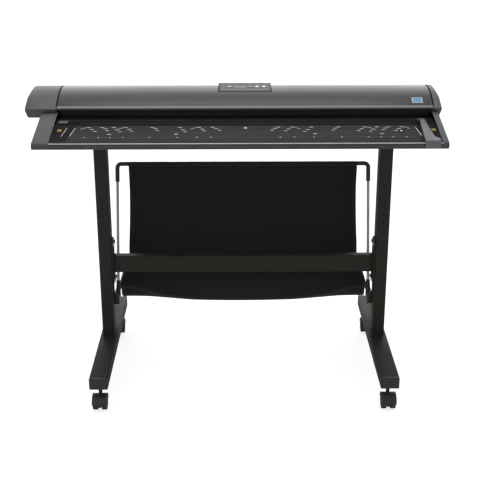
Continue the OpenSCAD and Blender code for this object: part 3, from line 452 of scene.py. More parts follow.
def add_piece(name, bm, material, body, sharp=35, recalc=True):
    """Makes an object of a finished bmesh, at the origin, that rides on a body."""
    if recalc:
        bmesh.ops.recalc_face_normals(bm, faces=bm.faces)
    mesh = bpy.data.meshes.new(name)
    bm.to_mesh(mesh)
    bm.free()
    mesh.shade_smooth()
    mesh.set_sharp_from_angle(angle=math.radians(sharp))
    piece = put(name, mesh)
    for one in material if isinstance(material, (list, tuple)) else [material]:
        mesh.materials.append(one)
    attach(piece, body)
    return piece


def round_off(bm, edges, radius, segments, **more):
    """Rounds edges, and gives the faces that it made."""
    return bmesh.ops.bevel(bm, geom=edges, offset=radius, offset_type="OFFSET", segments=segments,
                           profile=0.5, affect="EDGES", clamp_overlap=True, material=-1, **more)["faces"]


def add_block(bm, size, place, edge=0.0, segments=2):
    """A block of that size about its centre, with rounded edges, set down by a matrix."""
    verts = bmesh.ops.create_cube(bm, size=1.0)["verts"]
    bmesh.ops.scale(bm, vec=size, verts=verts)
    if edge:
        made = round_off(bm, list({e for v in verts for e in v.link_edges}), edge, segments)
        verts = list({v for f in made for v in f.verts} | {v for v in verts if v.is_valid})
    bmesh.ops.transform(bm, matrix=place, verts=verts)
    return verts


def add_disc(bm, radius, height, place, segments=32, edge=0.0, top=None):
    """A short cylinder standing on its base, with a rounded top rim, set down by a matrix."""
    lift = Matrix.Translation((0, 0, height / 2))
    verts = bmesh.ops.create_cone(bm, cap_ends=True, segments=segments, radius1=radius,
                                  radius2=radius if top is None else top, depth=height, matrix=lift)["verts"]
    if edge:
        edges = {e for v in verts for e in v.link_edges}
        rim = [e for e in edges if all(v.co.z > height * 0.9 for v in e.verts)]
        made = round_off(bm, rim, edge, 3)
        verts = list({v for f in made for v in f.verts} | {v for v in verts if v.is_valid})
    bmesh.ops.transform(bm, matrix=place, verts=verts)
    return verts


def join(bm, shape, place):
    """Adds a finished small shape to a bmesh, set down by a matrix."""
    bmesh.ops.transform(shape, matrix=place, verts=shape.verts)
    carrier = bpy.data.meshes.new("shape")
    shape.to_mesh(carrier)
    shape.free()
    bm.from_mesh(carrier)
    bpy.data.meshes.remove(carrier)


def add_ring(bm, radius, thick, place, around=36, across=8):
    """A torus round the Z axis, spun from a small circle."""
    ring = bmesh.new()
    stand = Matrix.Translation((radius, 0, 0)) @ Matrix.Rotation(math.pi / 2, 4, "X")
    start = bmesh.ops.create_circle(ring, segments=across, radius=thick, matrix=stand)
    bmesh.ops.spin(ring, geom=start["verts"] + list(ring.edges), cent=(0, 0, 0), axis=(0, 0, 1),
                   angle=2 * math.pi, steps=around, use_merge=True)
    bmesh.ops.remove_doubles(ring, verts=ring.verts, dist=1e-6)
    join(bm, ring, place)


def pointing(place, direction):
    """A matrix whose Z axis points along direction."""
    turn = Vector((0, 0, 1)).rotation_difference(Vector(direction)).to_matrix().to_4x4()
    return Matrix.Translation(place) @ turn


def softened(name, edge, material, segments=2):
    """A copy of a CAD node with its hard edges rounded, and the attribute "edge" on the rounding."""
    source = frame["nodes"][name]
    bm = bmesh.new()
    bm.from_mesh(source.data)
    bmesh.ops.remove_doubles(bm, verts=bm.verts, dist=1e-5)
    bmesh.ops.dissolve_limit(bm, angle_limit=FLAT_ANGLE, use_dissolve_boundaries=False,
                             verts=bm.verts, edges=bm.edges)
    layer = bm.faces.layers.float.new("edge")
    hard = [e for e in bm.edges if len(e.link_faces) == 2 and e.calc_face_angle(0.0) > HARD_ANGLE]
    for face in round_off(bm, hard, edge, segments, loop_slide=True):
        face[layer] = 1.0
    piece = add_piece(name + "_finished", bm, material, source["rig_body"],
                      recalc=False)
    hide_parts(name)
    return piece


# ---- CAD nodes: finishes ----

KEPT = {
    zinc_plate: ("stand_bolts",),
    galvanised: ("base_tray", "roller_bearings", "data_ports", "hinge_brackets"),
    bed_enamel: ("side_plates",),
    rod_metal: ("hinge_pins", "motor_pulley"),
    roller_rubber: ("feed_roller_front", "feed_roller_rear", "pinch_roller_front", "pinch_roller_rear"),
    belt_rubber: ("drive_belt",),
    moulded_black: ("drive_motor", "power_inlet", "power_switch"),
    white_backing: ("backing_plate",),
    board_green: ("main_board",),
    glass: ("scan_glass",),
    sensor_plastic: ("sensor_modules",),
}

# Node: (edge radius in millimetres, its finish)
ROUNDED = {
    "foot_left": (0.8, powder_black), "foot_right": (0.8, powder_black),
    "column_left": (0.8, powder_black), "column_right": (0.8, powder_black),
    "crossbar": (0.8, powder_black), "crossbar_brackets": (0.8, powder_black),
    "foot_end_caps": (1.2, moulded_black),
    "basket_upright_left": (0.5, rod_metal), "basket_upright_right": (0.5, rod_metal),
    "basket_top_bar": (0.5, powder_black), "basket_rear_arms": (0.5, powder_black),
    "basket_rear_bar": (0.5, powder_black),
    "basket_elbows": (0.8, moulded_black), "basket_sockets": (1.2, moulded_black),
    "bed_plate": (0.4, bed_enamel), "bed_front_trim": (0.4, trim_paint),
    "cheek_left": (2.0, cheek_plastic), "cheek_right": (2.0, cheek_plastic),
    "rear_cover": (0.4, moulded_black),
    "edge_guide": (1.2, guide_plastic),
    "lid_release_left": (0.8, release_plastic), "lid_release_right": (0.8, release_plastic),
    "lid_cover": (0.5, lid_enamel), "lid_cap_left": (1.2, cap_plastic), "lid_cap_right": (1.2, cap_plastic),
    "lid_underside": (0.5, moulded_black), "panel_housing": (0.7, moulded_black),
    "stop_key": (0.5, key_red), "scan_key": (0.5, key_green),
    "back_key": (0.5, key_white), "forward_key": (0.5, key_white),
}


def finish_nodes():
    for material, names in KEPT.items():
        for name in names:
            frame["nodes"][name].data.materials.clear()
            frame["nodes"][name].data.materials.append(material)
    for name, (edge, material) in ROUNDED.items():
        softened(name, edge * MM, material)


finish_nodes()


# ---- stand: casters, welds, boots ----

TREAD_FROM = 0.66       # share of a wheel's radius where the hub ends and the rubber starts
STEM_IN = 37 * MM       # from a foot's end to the stem of its caster
COLUMN_SIZE = (42 * MM, 62 * MM)
RIPPLE_PITCH = 2.2 * MM
BOOT_RIBS = 6
SCREW_PITCH = 146 * MM


def caster(corner):
    """Rounded hood, and a pair of wheels with rubber treads on plastic hubs."""
    softened(f"caster_hood_{corner}", 1.1 * MM, moulded_black, segments=3)
    wheels = softened(f"caster_wheels_{corner}", 2.2 * MM, [tyre_rubber, moulded_black], segments=3)
    axle = centre(f"caster_wheels_{corner}")
    radius = (high(f"caster_wheels_{corner}").z - low(f"caster_wheels_{corner}").z) / 2
    for face in wheels.data.polygons:
        away = Vector((0, face.center.y - axle.y, face.center.z - axle.z)).length
        face.material_index = 1 if away < TREAD_FROM * radius else 0
    bm = bmesh.new()
    outer = half_span(f"caster_wheels_{corner}")
    for side in (-1, 1):
        face = axle + Vector((side * (outer - 4.2 * MM), 0, 0))
        add_disc(bm, 0.40 * radius, 2.4 * MM, pointing(face, (side, 0, 0)), 32, 1.0 * MM, 0.34 * radius)
        for spoke in range(6):
            turn = Matrix.Rotation(spoke * math.pi / 3, 4, "X")
            place = Matrix.Translation(face) @ turn @ Matrix.Translation((0, 0, 0.46 * radius))
            add_block(bm, (1.6 * MM, 2.2 * MM, 0.2 * radius), place, 0.4 * MM, 1)
    add_piece(f"wheel_hubs_{corner}", bm, moulded_black, f"wheels_{corner}")


def stem_washers():
    """A pressed washer between each caster's stem and the foot."""
    bm = bmesh.new()
    for corner in CORNERS:
        foot = "foot_left" if corner.endswith("left") else "foot_right"
        end = low(foot).y + STEM_IN if corner.startswith("front") else high(foot).y - STEM_IN
        place = Vector((centre(foot).x, end, low(foot).z - 1.2 * MM))
        add_ring(bm, 7.6 * MM, 1.1 * MM, Matrix.Translation(place), 40, 8)
    add_piece("stem_washers", bm, zinc_plate, "frame")


def bead_round(bm, size, corner, place, thick):
    """A rippled weld bead round a rounded rectangle of that size."""
    path = []
    per_corner = 7
    for quarter in range(4):
        angle = quarter * math.pi / 2
        sx = 1 if quarter in (0, 3) else -1
        sy = 1 if quarter in (0, 1) else -1
        middle = Vector((sx * (size[0] / 2 - corner), sy * (size[1] / 2 - corner), 0))
        for step in range(per_corner):
            a = angle + step / (per_corner - 1) * math.pi / 2
            path.append(middle + corner * Vector((math.cos(a), math.sin(a), 0)))
    spread = []
    for i, point in enumerate(path):
        after = path[(i + 1) % len(path)]
        pieces = max(1, round((after - point).length / RIPPLE_PITCH))
        spread += [point.lerp(after, n / pieces) for n in range(pieces)]
    rings = []
    for i, point in enumerate(spread):
        along = (spread[(i + 1) % len(spread)] - spread[i - 1]).normalized()
        ripple = thick * (1 + 0.16 * math.sin(i * 2.4) + 0.1 * draw.random())
        made = bmesh.ops.create_circle(bm, segments=8, radius=ripple, matrix=place @ pointing(point, along))
        rings.append(list({e for v in made["verts"] for e in v.link_edges}))
    for first, second in zip(rings, rings[1:] + rings[:1]):
        bmesh.ops.bridge_loops(bm, edges=first + second)


def weld_beads():
    """Beads where each column stands on its foot and under its top plate."""
    bm = bmesh.new()
    for side in ("left", "right"):
        column = centre("column_" + side)
        for z in (low("column_" + side).z + 0.6 * MM, high("column_" + side).z - 4.8 * MM):
            bead_round(bm, COLUMN_SIZE, 4 * MM, Matrix.Translation((column.x, column.y, z)), 1.9 * MM)
    add_piece("weld_beads", bm, powder_black, "frame", 60)


def boot_ribs():
    """Moulded rings round the rubber boots at the feet of the uprights."""
    bm = bmesh.new()
    for side in ("left", "right"):
        rod_low, rod_high = box_of("basket_upright_" + side)
        x = (rod_low.x + rod_high.x) / 2
        foot = Vector((x, rod_low.y + 5 * MM, rod_low.z + 6 * MM))
        head = Vector((x, rod_high.y - 5 * MM, rod_high.z))
        lean = (head - foot).normalized()
        for step in range(BOOT_RIBS):
            place = pointing(foot + lean * (11 + 7 * step) * MM, lean)
            add_ring(bm, (8.5 - 0.42 * step) * MM, 0.9 * MM, place, 32, 8)
    add_piece("boot_ribs", bm, moulded_black, "frame")


def screw_head(bm, place, radius):
    """A domed screw head with a round recess in it."""
    head = bmesh.new()
    bmesh.ops.create_cone(head, cap_ends=True, segments=24, radius1=radius, radius2=radius * 0.8,
                          depth=radius * 0.45, matrix=Matrix.Translation((0, 0, radius * 0.22)))
    top = max(head.faces, key=lambda f: f.calc_center_median().z)
    bmesh.ops.inset_region(head, faces=[top], thickness=radius * 0.38, use_even_offset=True)
    pushed = bmesh.ops.extrude_face_region(head, geom=[top])
    moved = [g for g in pushed["geom"] if isinstance(g, bmesh.types.BMVert)]
    bmesh.ops.translate(head, verts=moved, vec=(0, 0, -radius * 0.35))
    bmesh.ops.delete(head, geom=[top], context="FACES")
    join(bm, head, place)


def rear_screws(bm, back, height):
    """A row of screws along a rear face."""
    for i in range(-4, 5):
        place = (SHEET_X + i * SCREW_PITCH, back - OVERLAP, UNIT_Z + height)
        screw_head(bm, pointing(place, (0, 1, 0)), 2.8 * MM)


def case_screws():
    """Screws in the cheeks' outer faces and along the rear cover."""
    bm = bmesh.new()
    for name, side in (("cheek_left", -1), ("cheek_right", 1)):
        x = low(name).x if side < 0 else high(name).x
        for depth, height in ((40, 12), (150, 12), (300, 12), (410, 12)):
            place = (x - side * OVERLAP, UNIT_Y + depth * MM, UNIT_Z + height * MM)
            screw_head(bm, pointing(place, (side, 0, 0)), 3.2 * MM)
    rear_screws(bm, high("rear_cover").y, 5.5 * MM)
    add_piece("case_screws", bm, zinc_plate, "frame")


for corner_name in CORNERS:
    caster(corner_name)
stem_washers()
weld_beads()
boot_ribs()
case_screws()


# ---- basket sling ----

SLING_COLUMNS = 96
SLING_ROWS = 76
SLING_SAG_LIMIT = 14 * MM
SETTLE_STEPS = 30

# The hanging line, as (Y, Z) in millimetres from the rear bar, from the front fold back to the bar
SLING_LINE = ((-216, 95), (-227, 36), (-207, -24), (-158, -44.5), (-90, -38), (-36, -21), (-6, -5))


def sling_path():
    """Points along the middle of the cloth, evenly spaced, from the top bar to the rear bar."""
    top, rear = centre("basket_top_bar"), centre("basket_rear_bar")
    points = [Vector((0, top.y + 2 * MM, top.z - 7 * MM))]
    points += [Vector((0, rear.y + y * MM, rear.z + z * MM)) for y, z in SLING_LINE]
    curve = []
    for i in range(len(points) - 1):
        a = points[max(i - 1, 0)]
        b, c = points[i], points[i + 1]
        d = points[min(i + 2, len(points) - 1)]
        into, out = (c - a) * 0.5, (d - b) * 0.5
        if i == 0:
            into, out = (c - b) * 0.9, (d - c).normalized() * (c - b).length * 0.25
        for step in range(24):
            t = step / 24
            curve.append((2 * t**3 - 3 * t**2 + 1) * b + (t**3 - 2 * t**2 + t) * into
                         + (3 * t**2 - 2 * t**3) * c + (t**3 - t**2) * out)
    curve.append(points[-1])
    lengths = [0.0]
    for a, b in zip(curve, curve[1:]):
        lengths.append(lengths[-1] + (b - a).length)
    total = lengths[-1]
    even = []
    k = 0
    for i in range(SLING_ROWS + 1):
        want = total * i / SLING_ROWS
        while k < len(lengths) - 2 and lengths[k + 1] < want:
            k += 1
        part = (want - lengths[k]) / max(lengths[k + 1] - lengths[k], 1e-9)
        even.append(curve[k].lerp(curve[k + 1], min(part, 1.0)))
    return even, total


def half_width(point):
    """Half the cloth's width: narrow above the crossbar, wider below it, and cut in at the rear bar."""
    bar_top = high("crossbar").z
    narrow = half_span("basket_top_bar") - 17 * MM
    wide = half_span("basket_cloth") - 1 * MM
    share = min(max((bar_top - 30 * MM - point.z) / (110 * MM), 0.0), 1.0)
    width = narrow + (wide - narrow) * share * share * (3 - 2 * share)
    rise = min(max((point.z - bar_top) / (high("basket_top_bar").z - bar_top), 0.0), 1.0)
    width -= 14 * MM * rise * (1 - rise)
    near_rear = min(max((point.y - (centre("basket_rear_bar").y - 30 * MM)) / (26 * MM), 0.0), 1.0)
    return width - 20 * MM * near_rear


def make_sling():
    """The sling as one sheet: a grid laid along the path, hung by its sewn edges, with a limited sag."""
    path, length = sling_path()
    stand_x = centre("crossbar").x
    halves = [half_width(p) for p in path]
    bm = bmesh.new()
    bmesh.ops.create_grid(bm, x_segments=SLING_COLUMNS, y_segments=SLING_ROWS, size=1.0)
    cut = bm.loops.layers.uv.new("cut")
    for face in bm.faces:
        for loop in face.loops:
            row = round((loop.vert.co.y + 1) / 2 * SLING_ROWS)
            loop[cut].uv = (loop.vert.co.x * halves[row], length * row / SLING_ROWS)
    for v in bm.verts:
        row = round((v.co.y + 1) / 2 * SLING_ROWS)
        v.co = path[row] + Vector((stand_x + v.co.x * halves[row], 0, 0))
    area = sum(f.calc_area() for f in bm.faces)
    sling = add_piece("basket_sling", bm, basket_fabric, "frame", 180)
    let_settle(sling)
    return sling, 2 * max(halves), length, area


def sewn_rows(sling):
    """The points that the bars hold, and those at both ends of the front fold."""
    held = []
    fold_z = centre("basket_rear_bar").z + 34 * MM
    top_z = max(v.co.z for v in sling.data.vertices)
    rear_y = max(v.co.y for v in sling.data.vertices)
    middle = centre("crossbar").x
    for v in sling.data.vertices:
        at_bar = v.co.z > top_z - 1 * MM or v.co.y > rear_y - 1 * MM
        at_fold = abs(v.co.z - fold_z) < 7 * MM and v.co.y < centre("crossbar").y + 90 * MM \
            and abs(v.co.x - middle) > 0.40
        if at_bar or at_fold:
            held.append(v.index)
    return held


def let_settle(sling):
    """Moves the cloth the way that it falls from its sewn rows, by SLING_SAG_LIMIT at most. Left alone it
    falls further at most points, so the limit sets the depth of the sag, and this is no settled drape."""
    starts = [v.co.copy() for v in sling.data.vertices]
    sewn = sling.vertex_groups.new(name="sewn")
    sewn.add(sewn_rows(sling), 1.0, "REPLACE")
    hang = sling.modifiers.new("hang", "CLOTH")
    hang.settings.vertex_group_mass = "sewn"
    for setting, value in {"quality": 6, "mass": 0.25, "tension_stiffness": 40,
                           "compression_stiffness": 30, "shear_stiffness": 12, "bending_stiffness": 1.2,
                           "air_damping": 2.0, "shrink_min": -0.006}.items():
        setattr(hang.settings, setting, value)
    hang.point_cache.frame_start = 1
    hang.point_cache.frame_end = SETTLE_STEPS
    for step in range(1, SETTLE_STEPS + 1):
        scene.frame_set(step)
    settled = sling.evaluated_get(bpy.context.evaluated_depsgraph_get())
    ends = [v.co.copy() for v in settled.data.vertices]
    sling.modifiers.remove(hang)
    sling.vertex_groups.clear()
    scene.frame_set(1)
    lowest = low("basket_cloth").z + 0.6 * MM
    for v, a, b in zip(sling.data.vertices, starts, ends):
        step = b - a
        if step.length > SLING_SAG_LIMIT:
            step = step * (SLING_SAG_LIMIT / step.length)
        v.co = a + step
        v.co.y += 1.1 * MM * noise.noise(a * 7)
        v.co.z = max(v.co.z, lowest)


def edge_band(sling, side, wide):
    """A folded hem along one side of the sling: a copy of its outer columns, set just outside it."""
    bm = bmesh.new()
    bm.from_mesh(sling.data)
    columns = SLING_COLUMNS + 1
    kept = range(wide) if side < 0 else range(columns - wide, columns)
    bmesh.ops.delete(bm, geom=[v for v in bm.verts if v.index % columns not in kept], context="VERTS")
    return bm


def thicken(piece, thickness, offset=0):
    wall = piece.modifiers.new("cloth", "SOLIDIFY")
    wall.thickness = thickness
    wall.offset = offset


def soften_curves(piece):
    soft = piece.modifiers.new("soft", "SUBSURF")
    soft.levels = soft.render_levels = 1


def finish_sling():
    """The sling with its hems, sleeves and stitches, in place of the CAD node's plain solid."""
    sling, width, length, area = make_sling()
    sides = []
    for side, name in ((-1, "left"), (1, "right")):
        bm = edge_band(sling, side, 3)
        hem = add_piece(f"sling_hem_{name}", bm, hem_fabric, "frame", 180, recalc=False)
        thicken(hem, 3.2 * MM)
        soften_curves(hem)
        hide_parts("basket_cloth")
        sides.append(hem)
    thicken(sling, 1.0 * MM)
    soften_curves(sling)
    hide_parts("basket_cloth")
    sides += bar_sleeves() + [hem_stitches(sling)]


def sleeve(name, bar, half, radius):
    """A sewn channel round a bar, puckered along its length."""
    middle = centre(bar)
    bm = bmesh.new()
    turn = Matrix.Translation(middle) @ Matrix.Rotation(math.pi / 2, 4, "Y")
    bmesh.ops.create_cone(bm, cap_ends=False, segments=28, radius1=radius, radius2=radius, depth=2 * half,
                          matrix=turn)
    long = [e for e in bm.edges if abs(e.verts[0].co.x - e.verts[1].co.x) > half]
    bmesh.ops.subdivide_edges(bm, edges=long, cuts=120, use_grid_fill=True)
    cut = bm.loops.layers.uv.new("cut")
    for face in bm.faces:
        for loop in face.loops:
            away = loop.vert.co - middle
            loop[cut].uv = (away.x, radius * math.atan2(away.z, away.y))
    for v in bm.verts:
        away = Vector((0, v.co.y - middle.y, v.co.z - middle.z))
        pucker = 0.45 * MM * noise.noise(Vector((v.co.x * 60, away.y * 300, away.z * 300)))
        droop = 0.5 * MM if away.z < 0 else 0.0
        v.co += away.normalized() * (pucker + droop)
    piece = add_piece(name, bm, hem_fabric, "frame", 180)
    thicken(piece, 0.9 * MM, -1)
    return piece


def bar_sleeves():
    """The two sleeves, each a little shorter than its bar."""
    made = []
    for end, inset in (("top", 17 * MM), ("rear", 9 * MM)):
        bar = f"basket_{end}_bar"
        made.append(sleeve(f"sling_sleeve_{end}", bar, half_span(bar) - inset, 7.6 * MM))
    return made


def hem_stitches(sling):
    """Rows of stitches, on both faces of the cloth, along the side hems and beside the two sleeves."""
    columns = SLING_COLUMNS + 1
    seams = []
    for column in (2, columns - 3):
        seams.append(([row * columns + column for row in range(1, SLING_ROWS)], 1.9 * MM))
    for row in (2, SLING_ROWS - 2):
        seams.append(([row * columns + column for column in range(3, columns - 3)], 0.9 * MM))
    thread = bpy.data.curves.new("sling_stitches", "CURVE")
    thread.dimensions = "3D"
    thread.bevel_depth = 0.35 * MM
    thread.bevel_resolution = 1
    thread.use_fill_caps = True
    points = sling.data.vertices
    for seam, reach in seams:
        for here, after in zip(seam, seam[1:]):
            for start in (0.06, 0.56):
                for side in (-1, 1):
                    line = thread.splines.new("POLY")
                    line.points.add(1)
                    for point, share in zip(line.points, (start, start + 0.34)):
                        out = points[here].normal * side * reach
                        point.co = (*(points[here].co.lerp(points[after].co, share) + out), 1)
    thread.materials.append(thread_black)
    stitches = put("sling_stitches", thread)
    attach(stitches, "frame")
    return stitches


finish_sling()


# ---- feed bed ----

# Widths of common sheets, in millimetres, that the bed is marked for
SHEET_WIDTHS = (210, 297, 420, 594, 762, 841, 914, 1000)
PRINT_T = 0.25 * MM

# The slanted lines that close the marked field at both ends: how far out they are, and their lean
BRACKETS = (548, 574)
BRACKET_LEAN = math.radians(8)


def stroke(bm, x, along, length, width, turn=0.0):
    """A printed stroke on the sloping bed, turned about its middle."""
    place = bed_place(x, along, PRINT_T / 2) @ Matrix.Rotation(turn, 4, "Z")
    add_block(bm, (length, width, PRINT_T), place)


def bed_print():
    """Size marks printed on the bed: two fine rules, and strokes and dashes for each sheet width; and a grey
    line on the level part at the back, a painted highlight for the edge there.
    """
    fine = bmesh.new()
    reach = BED_RIGHT - BED_LEFT - 150 * MM
    for along in (44 * MM, 130 * MM):
        stroke(fine, SHEET_X - 3 * MM, along, reach, 0.9 * MM)
    # A grey line on the level part at the back: a painted highlight for the light along the edge there.
    back_edge_highlight = Matrix.Translation((SHEET_X, UNIT_Y + 170 * MM, UNIT_Z + BED_TURN[1] + 3.2 * MM))
    add_block(fine, (reach, 1.6 * MM, PRINT_T), back_edge_highlight @ Matrix.Rotation(LEVEL_ANGLE, 4, "X"))
    add_piece("bed_rules_and_edge_highlight", fine, grey_print_and_highlight, "frame")
    bm = bmesh.new()
    for i, width in enumerate(SHEET_WIDTHS):
        for side in (-1, 1):
            x = SHEET_X + side * width / 2 * MM
            step = (4 + 5 * (i % 3)) * MM
            stroke(bm, x, 125 * MM, 12 * MM, 3.4 * MM)
            stroke(bm, x - side * 11 * MM, 119 * MM - step, 13 * MM, 3.2 * MM)
            stroke(bm, x - side * (17 + 6 * draw.random()) * MM, 104 * MM - step, 11 * MM, 3.2 * MM)
            if i % 3 == 1:
                stroke(bm, x + side * 16 * MM, 118 * MM, 24 * MM, 1.8 * MM, -side * math.radians(38))
            if i % 3 == 2:
                stroke(bm, x + side * 9 * MM, 70 * MM, 12 * MM, 4.2 * MM)
            stroke(bm, x + side * 4 * MM, 44 * MM, 6 * MM, 3.4 * MM)
    for side in (-1, 1):
        for x in BRACKETS:
            stroke(bm, SHEET_X + side * x * MM, 88 * MM, 68 * MM, 2.0 * MM,
                   math.radians(90) + side * BRACKET_LEAN)
    tip = bed_place(SHEET_X, 119 * MM, 0) @ Matrix.Rotation(math.pi / 2, 4, "Z")
    bmesh.ops.create_cone(bm, cap_ends=True, segments=3, radius1=8.5 * MM, radius2=8.5 * MM,
                          depth=2 * PRINT_T, matrix=tip)
    add_piece("bed_marks", bm, print_white, "frame")


def dark_ends():
    """Black film on the bed beyond the marked field at both ends, and on its level part at the back."""
    bm = bmesh.new()
    reach = BED_RIGHT - BED_LEFT - 12 * MM
    back = Matrix.Translation((SHEET_X, UNIT_Y + 178 * MM, UNIT_Z + BED_TURN[1]))
    add_block(bm, (reach, 44 * MM, 0.4 * MM), back @ Matrix.Translation((0, -10 * MM, 2.3 * MM))
              @ Matrix.Rotation(LEVEL_ANGLE, 4, "X"))
    for side in (-1, 1):
        outer = (BED_LEFT if side < 0 else BED_RIGHT) - side * 5 * MM
        inner = SHEET_X + side * (BRACKETS[0] + 1.5) * MM
        made = add_block(bm, (abs(outer - inner), 124 * MM, 0.14 * MM),
                         bed_place((outer + inner) / 2, 71 * MM, 0.07 * MM))
        for v in made:
            if abs(v.co.x - inner) < 1 * MM:
                v.co.x -= side * math.tan(BRACKET_LEAN) * (v.co.y - UNIT_Y - 97 * MM)
    add_piece("bed_dark_film", bm, near_black_and_seam_shade, "frame")


def bed_sensor():
    """The round sheet sensor near the right end of the bed."""
    place = bed_place(SHEET_X + 494 * MM, 92 * MM)
    ring = bmesh.new()
    add_disc(ring, 11 * MM, 0.7 * MM, place, 48, 0.3 * MM)
    add_piece("sheet_sensor_ring", ring, near_black_and_seam_shade, "frame")
    eye = bmesh.new()
    add_disc(eye, 4.6 * MM, 1.1 * MM, place, 40, 0.4 * MM)
    add_piece("sheet_sensor_eye", eye, print_white, "frame")


def trim_highlight_strip():
    """A bright half-round metal strip along the top of the front trim: a painted highlight for the light that
    the trim's rounded upper edge catches.
    """
    bm = bmesh.new()
    middle = Vector((SHEET_X, UNIT_Y + 2.0 * MM, UNIT_Z + 17.9 * MM))
    turn = Matrix.Translation(middle) @ Matrix.Rotation(math.pi / 2, 4, "Y")
    bmesh.ops.create_cone(bm, cap_ends=True, segments=24, radius1=1.35 * MM, radius2=1.35 * MM,
                          depth=BED_RIGHT - BED_LEFT - 1 * MM, matrix=turn)
    add_piece("trim_highlight_strip", bm, trim_highlight_metal, "frame")


def left_stop():
    """The fixed edge stop at the left end of the level part of the bed."""
    bm = bmesh.new()
    place = Matrix.Translation((BED_LEFT + 22 * MM, UNIT_Y + 176 * MM, UNIT_Z + 43.2 * MM))
    add_block(bm, (30 * MM, 22 * MM, 5 * MM), place, 1.2 * MM, 3)
    for i in range(5):
        rib = place @ Matrix.Translation(((i - 2) * 5 * MM, 0, 2.6 * MM))
        add_block(bm, (1.4 * MM, 16 * MM, 1.0 * MM), rib, 0.3 * MM, 1)
    add_piece("left_edge_stop", bm, guide_plastic, "frame")


def release_frames():
    """A dark frame round each yellow release, on the bed."""
    bm = bmesh.new()
    for name in ("lid_release_left", "lid_release_right"):
        lo, hi = box_of(name)
        x = (lo.x + hi.x) / 2
        along = (lo.y + hi.y) / 2 - UNIT_Y - BED_START[0]
        wide = (hi.x - lo.x) / 2 + 1.6 * MM
        deep = (hi.y - lo.y) / 2 + 1.8 * MM
        for side in (-1, 1):
            for size, place in (((2 * MM, 2 * deep + 2 * MM, 0.8 * MM), (x + side * wide, along)),
                                ((2 * wide, 2 * MM, 0.8 * MM), (x, along + side * deep))):
                add_block(bm, size, bed_place(*place, 0.3 * MM), 0.2 * MM, 1)
    add_piece("release_frames", bm, near_black_and_seam_shade, "frame")


def guide_fittings():
    """On the sliding edge guide: a round nose pad at its far end, thumb ribs and a clamp screw."""
    right = high("edge_guide").x
    lift = 9.9 * MM
    pad = bmesh.new()
    add_disc(pad, 8 * MM, 10.2 * MM, bed_place(right - 40 * MM, 164 * MM, 0.4 * MM), 40, 2.2 * MM)
    add_piece("guide_nose_pad", pad, moulded_black, "edge_guide")
    ribs = bmesh.new()
    for i in range(7):
        place = bed_place(right - 27 * MM, (i * 3.4 - 6) * MM, lift)
        add_block(ribs, (30 * MM, 1.3 * MM, 1.2 * MM), place, 0.4 * MM, 1)
    add_piece("guide_thumb_ribs", ribs, guide_plastic, "edge_guide")
    screw = bmesh.new()
    screw_head(screw, bed_place(right - 12 * MM, 4 * MM, lift - 0.2 * MM), 3.6 * MM)
    add_piece("guide_clamp_screw", screw, zinc_plate, "edge_guide")


bed_print()
dark_ends()
bed_sensor()
trim_highlight_strip()
left_stop()
release_frames()
guide_fittings()


# ---- lid and control panel ----


def on_lid_arc(bm, x_from, x_to, depth_from, depth_to, lift, thick):
    """A strip that follows the lid's arc between two depths, lifted off it."""
    radius = LID_RADIUS + lift
    angles = [math.acos(min((depth - CREST[0]) / LID_RADIUS, 1.0)) for depth in (depth_from, depth_to)]
    turn = angles[1] - angles[0]
    start = Vector((0, math.cos(angles[0]), math.sin(angles[0])))
    verts = [bm.verts.new(LID_AXIS + start * r + Vector((x, 0, 0)))
             for x, r in ((x_from, radius), (x_to, radius), (x_to, radius + thick), (x_from, radius + thick))]
    face = bm.faces.new(verts)
    steps = max(6, int(abs(turn) / math.radians(1.5)))
    bmesh.ops.spin(bm, geom=[face] + list(face.edges) + verts, cent=LID_AXIS, axis=(1, 0, 0), angle=turn,
                   steps=steps)


def lid_seam_shade():
    """Dark strips in the joints between the lid's cover and its two end caps: painted shade for the gaps
    there.
    """
    bm = bmesh.new()
    for seam in (low("lid_cover").x - 0.5 * MM, high("lid_cover").x + 0.5 * MM):
        on_lid_arc(bm, seam - 2.4 * MM, seam + 2.4 * MM, LIP[0] + 2 * MM, 446 * MM, -0.5 * MM, 0.8 * MM)
    add_piece("lid_seam_shade", bm, near_black_and_seam_shade, "lid")


def lid_lip():
    """A pale strip along the lid's lip: a painted highlight for the light that its rolled edge reflects."""
    bm = bmesh.new()
    on_lid_arc(bm, low("lid_cover").x + 1 * MM, high("lid_cover").x - 1 * MM, LIP[0] + 1 * MM,
               LIP[0] + 7 * MM, 0.02 * MM, 0.35 * MM)
    add_piece("lid_lip_highlight", bm, lip_highlight_paint, "lid")


def lid_sticker():
    """A plain white and blue sticker near the right end of the lid."""
    white = bmesh.new()
    left = high("lid_cover").x - 67 * MM
    on_lid_arc(white, left, left + 35 * MM, 240 * MM, 265 * MM, 0.05 * MM, 0.12 * MM)
    add_piece("lid_sticker_back", white, sticker_white, "lid")
    blue = bmesh.new()
    on_lid_arc(blue, left + 4 * MM, left + 32 * MM, 242 * MM, 263 * MM, 0.1 * MM, 0.14 * MM)
    add_piece("lid_sticker_field", blue, sticker_blue, "lid")


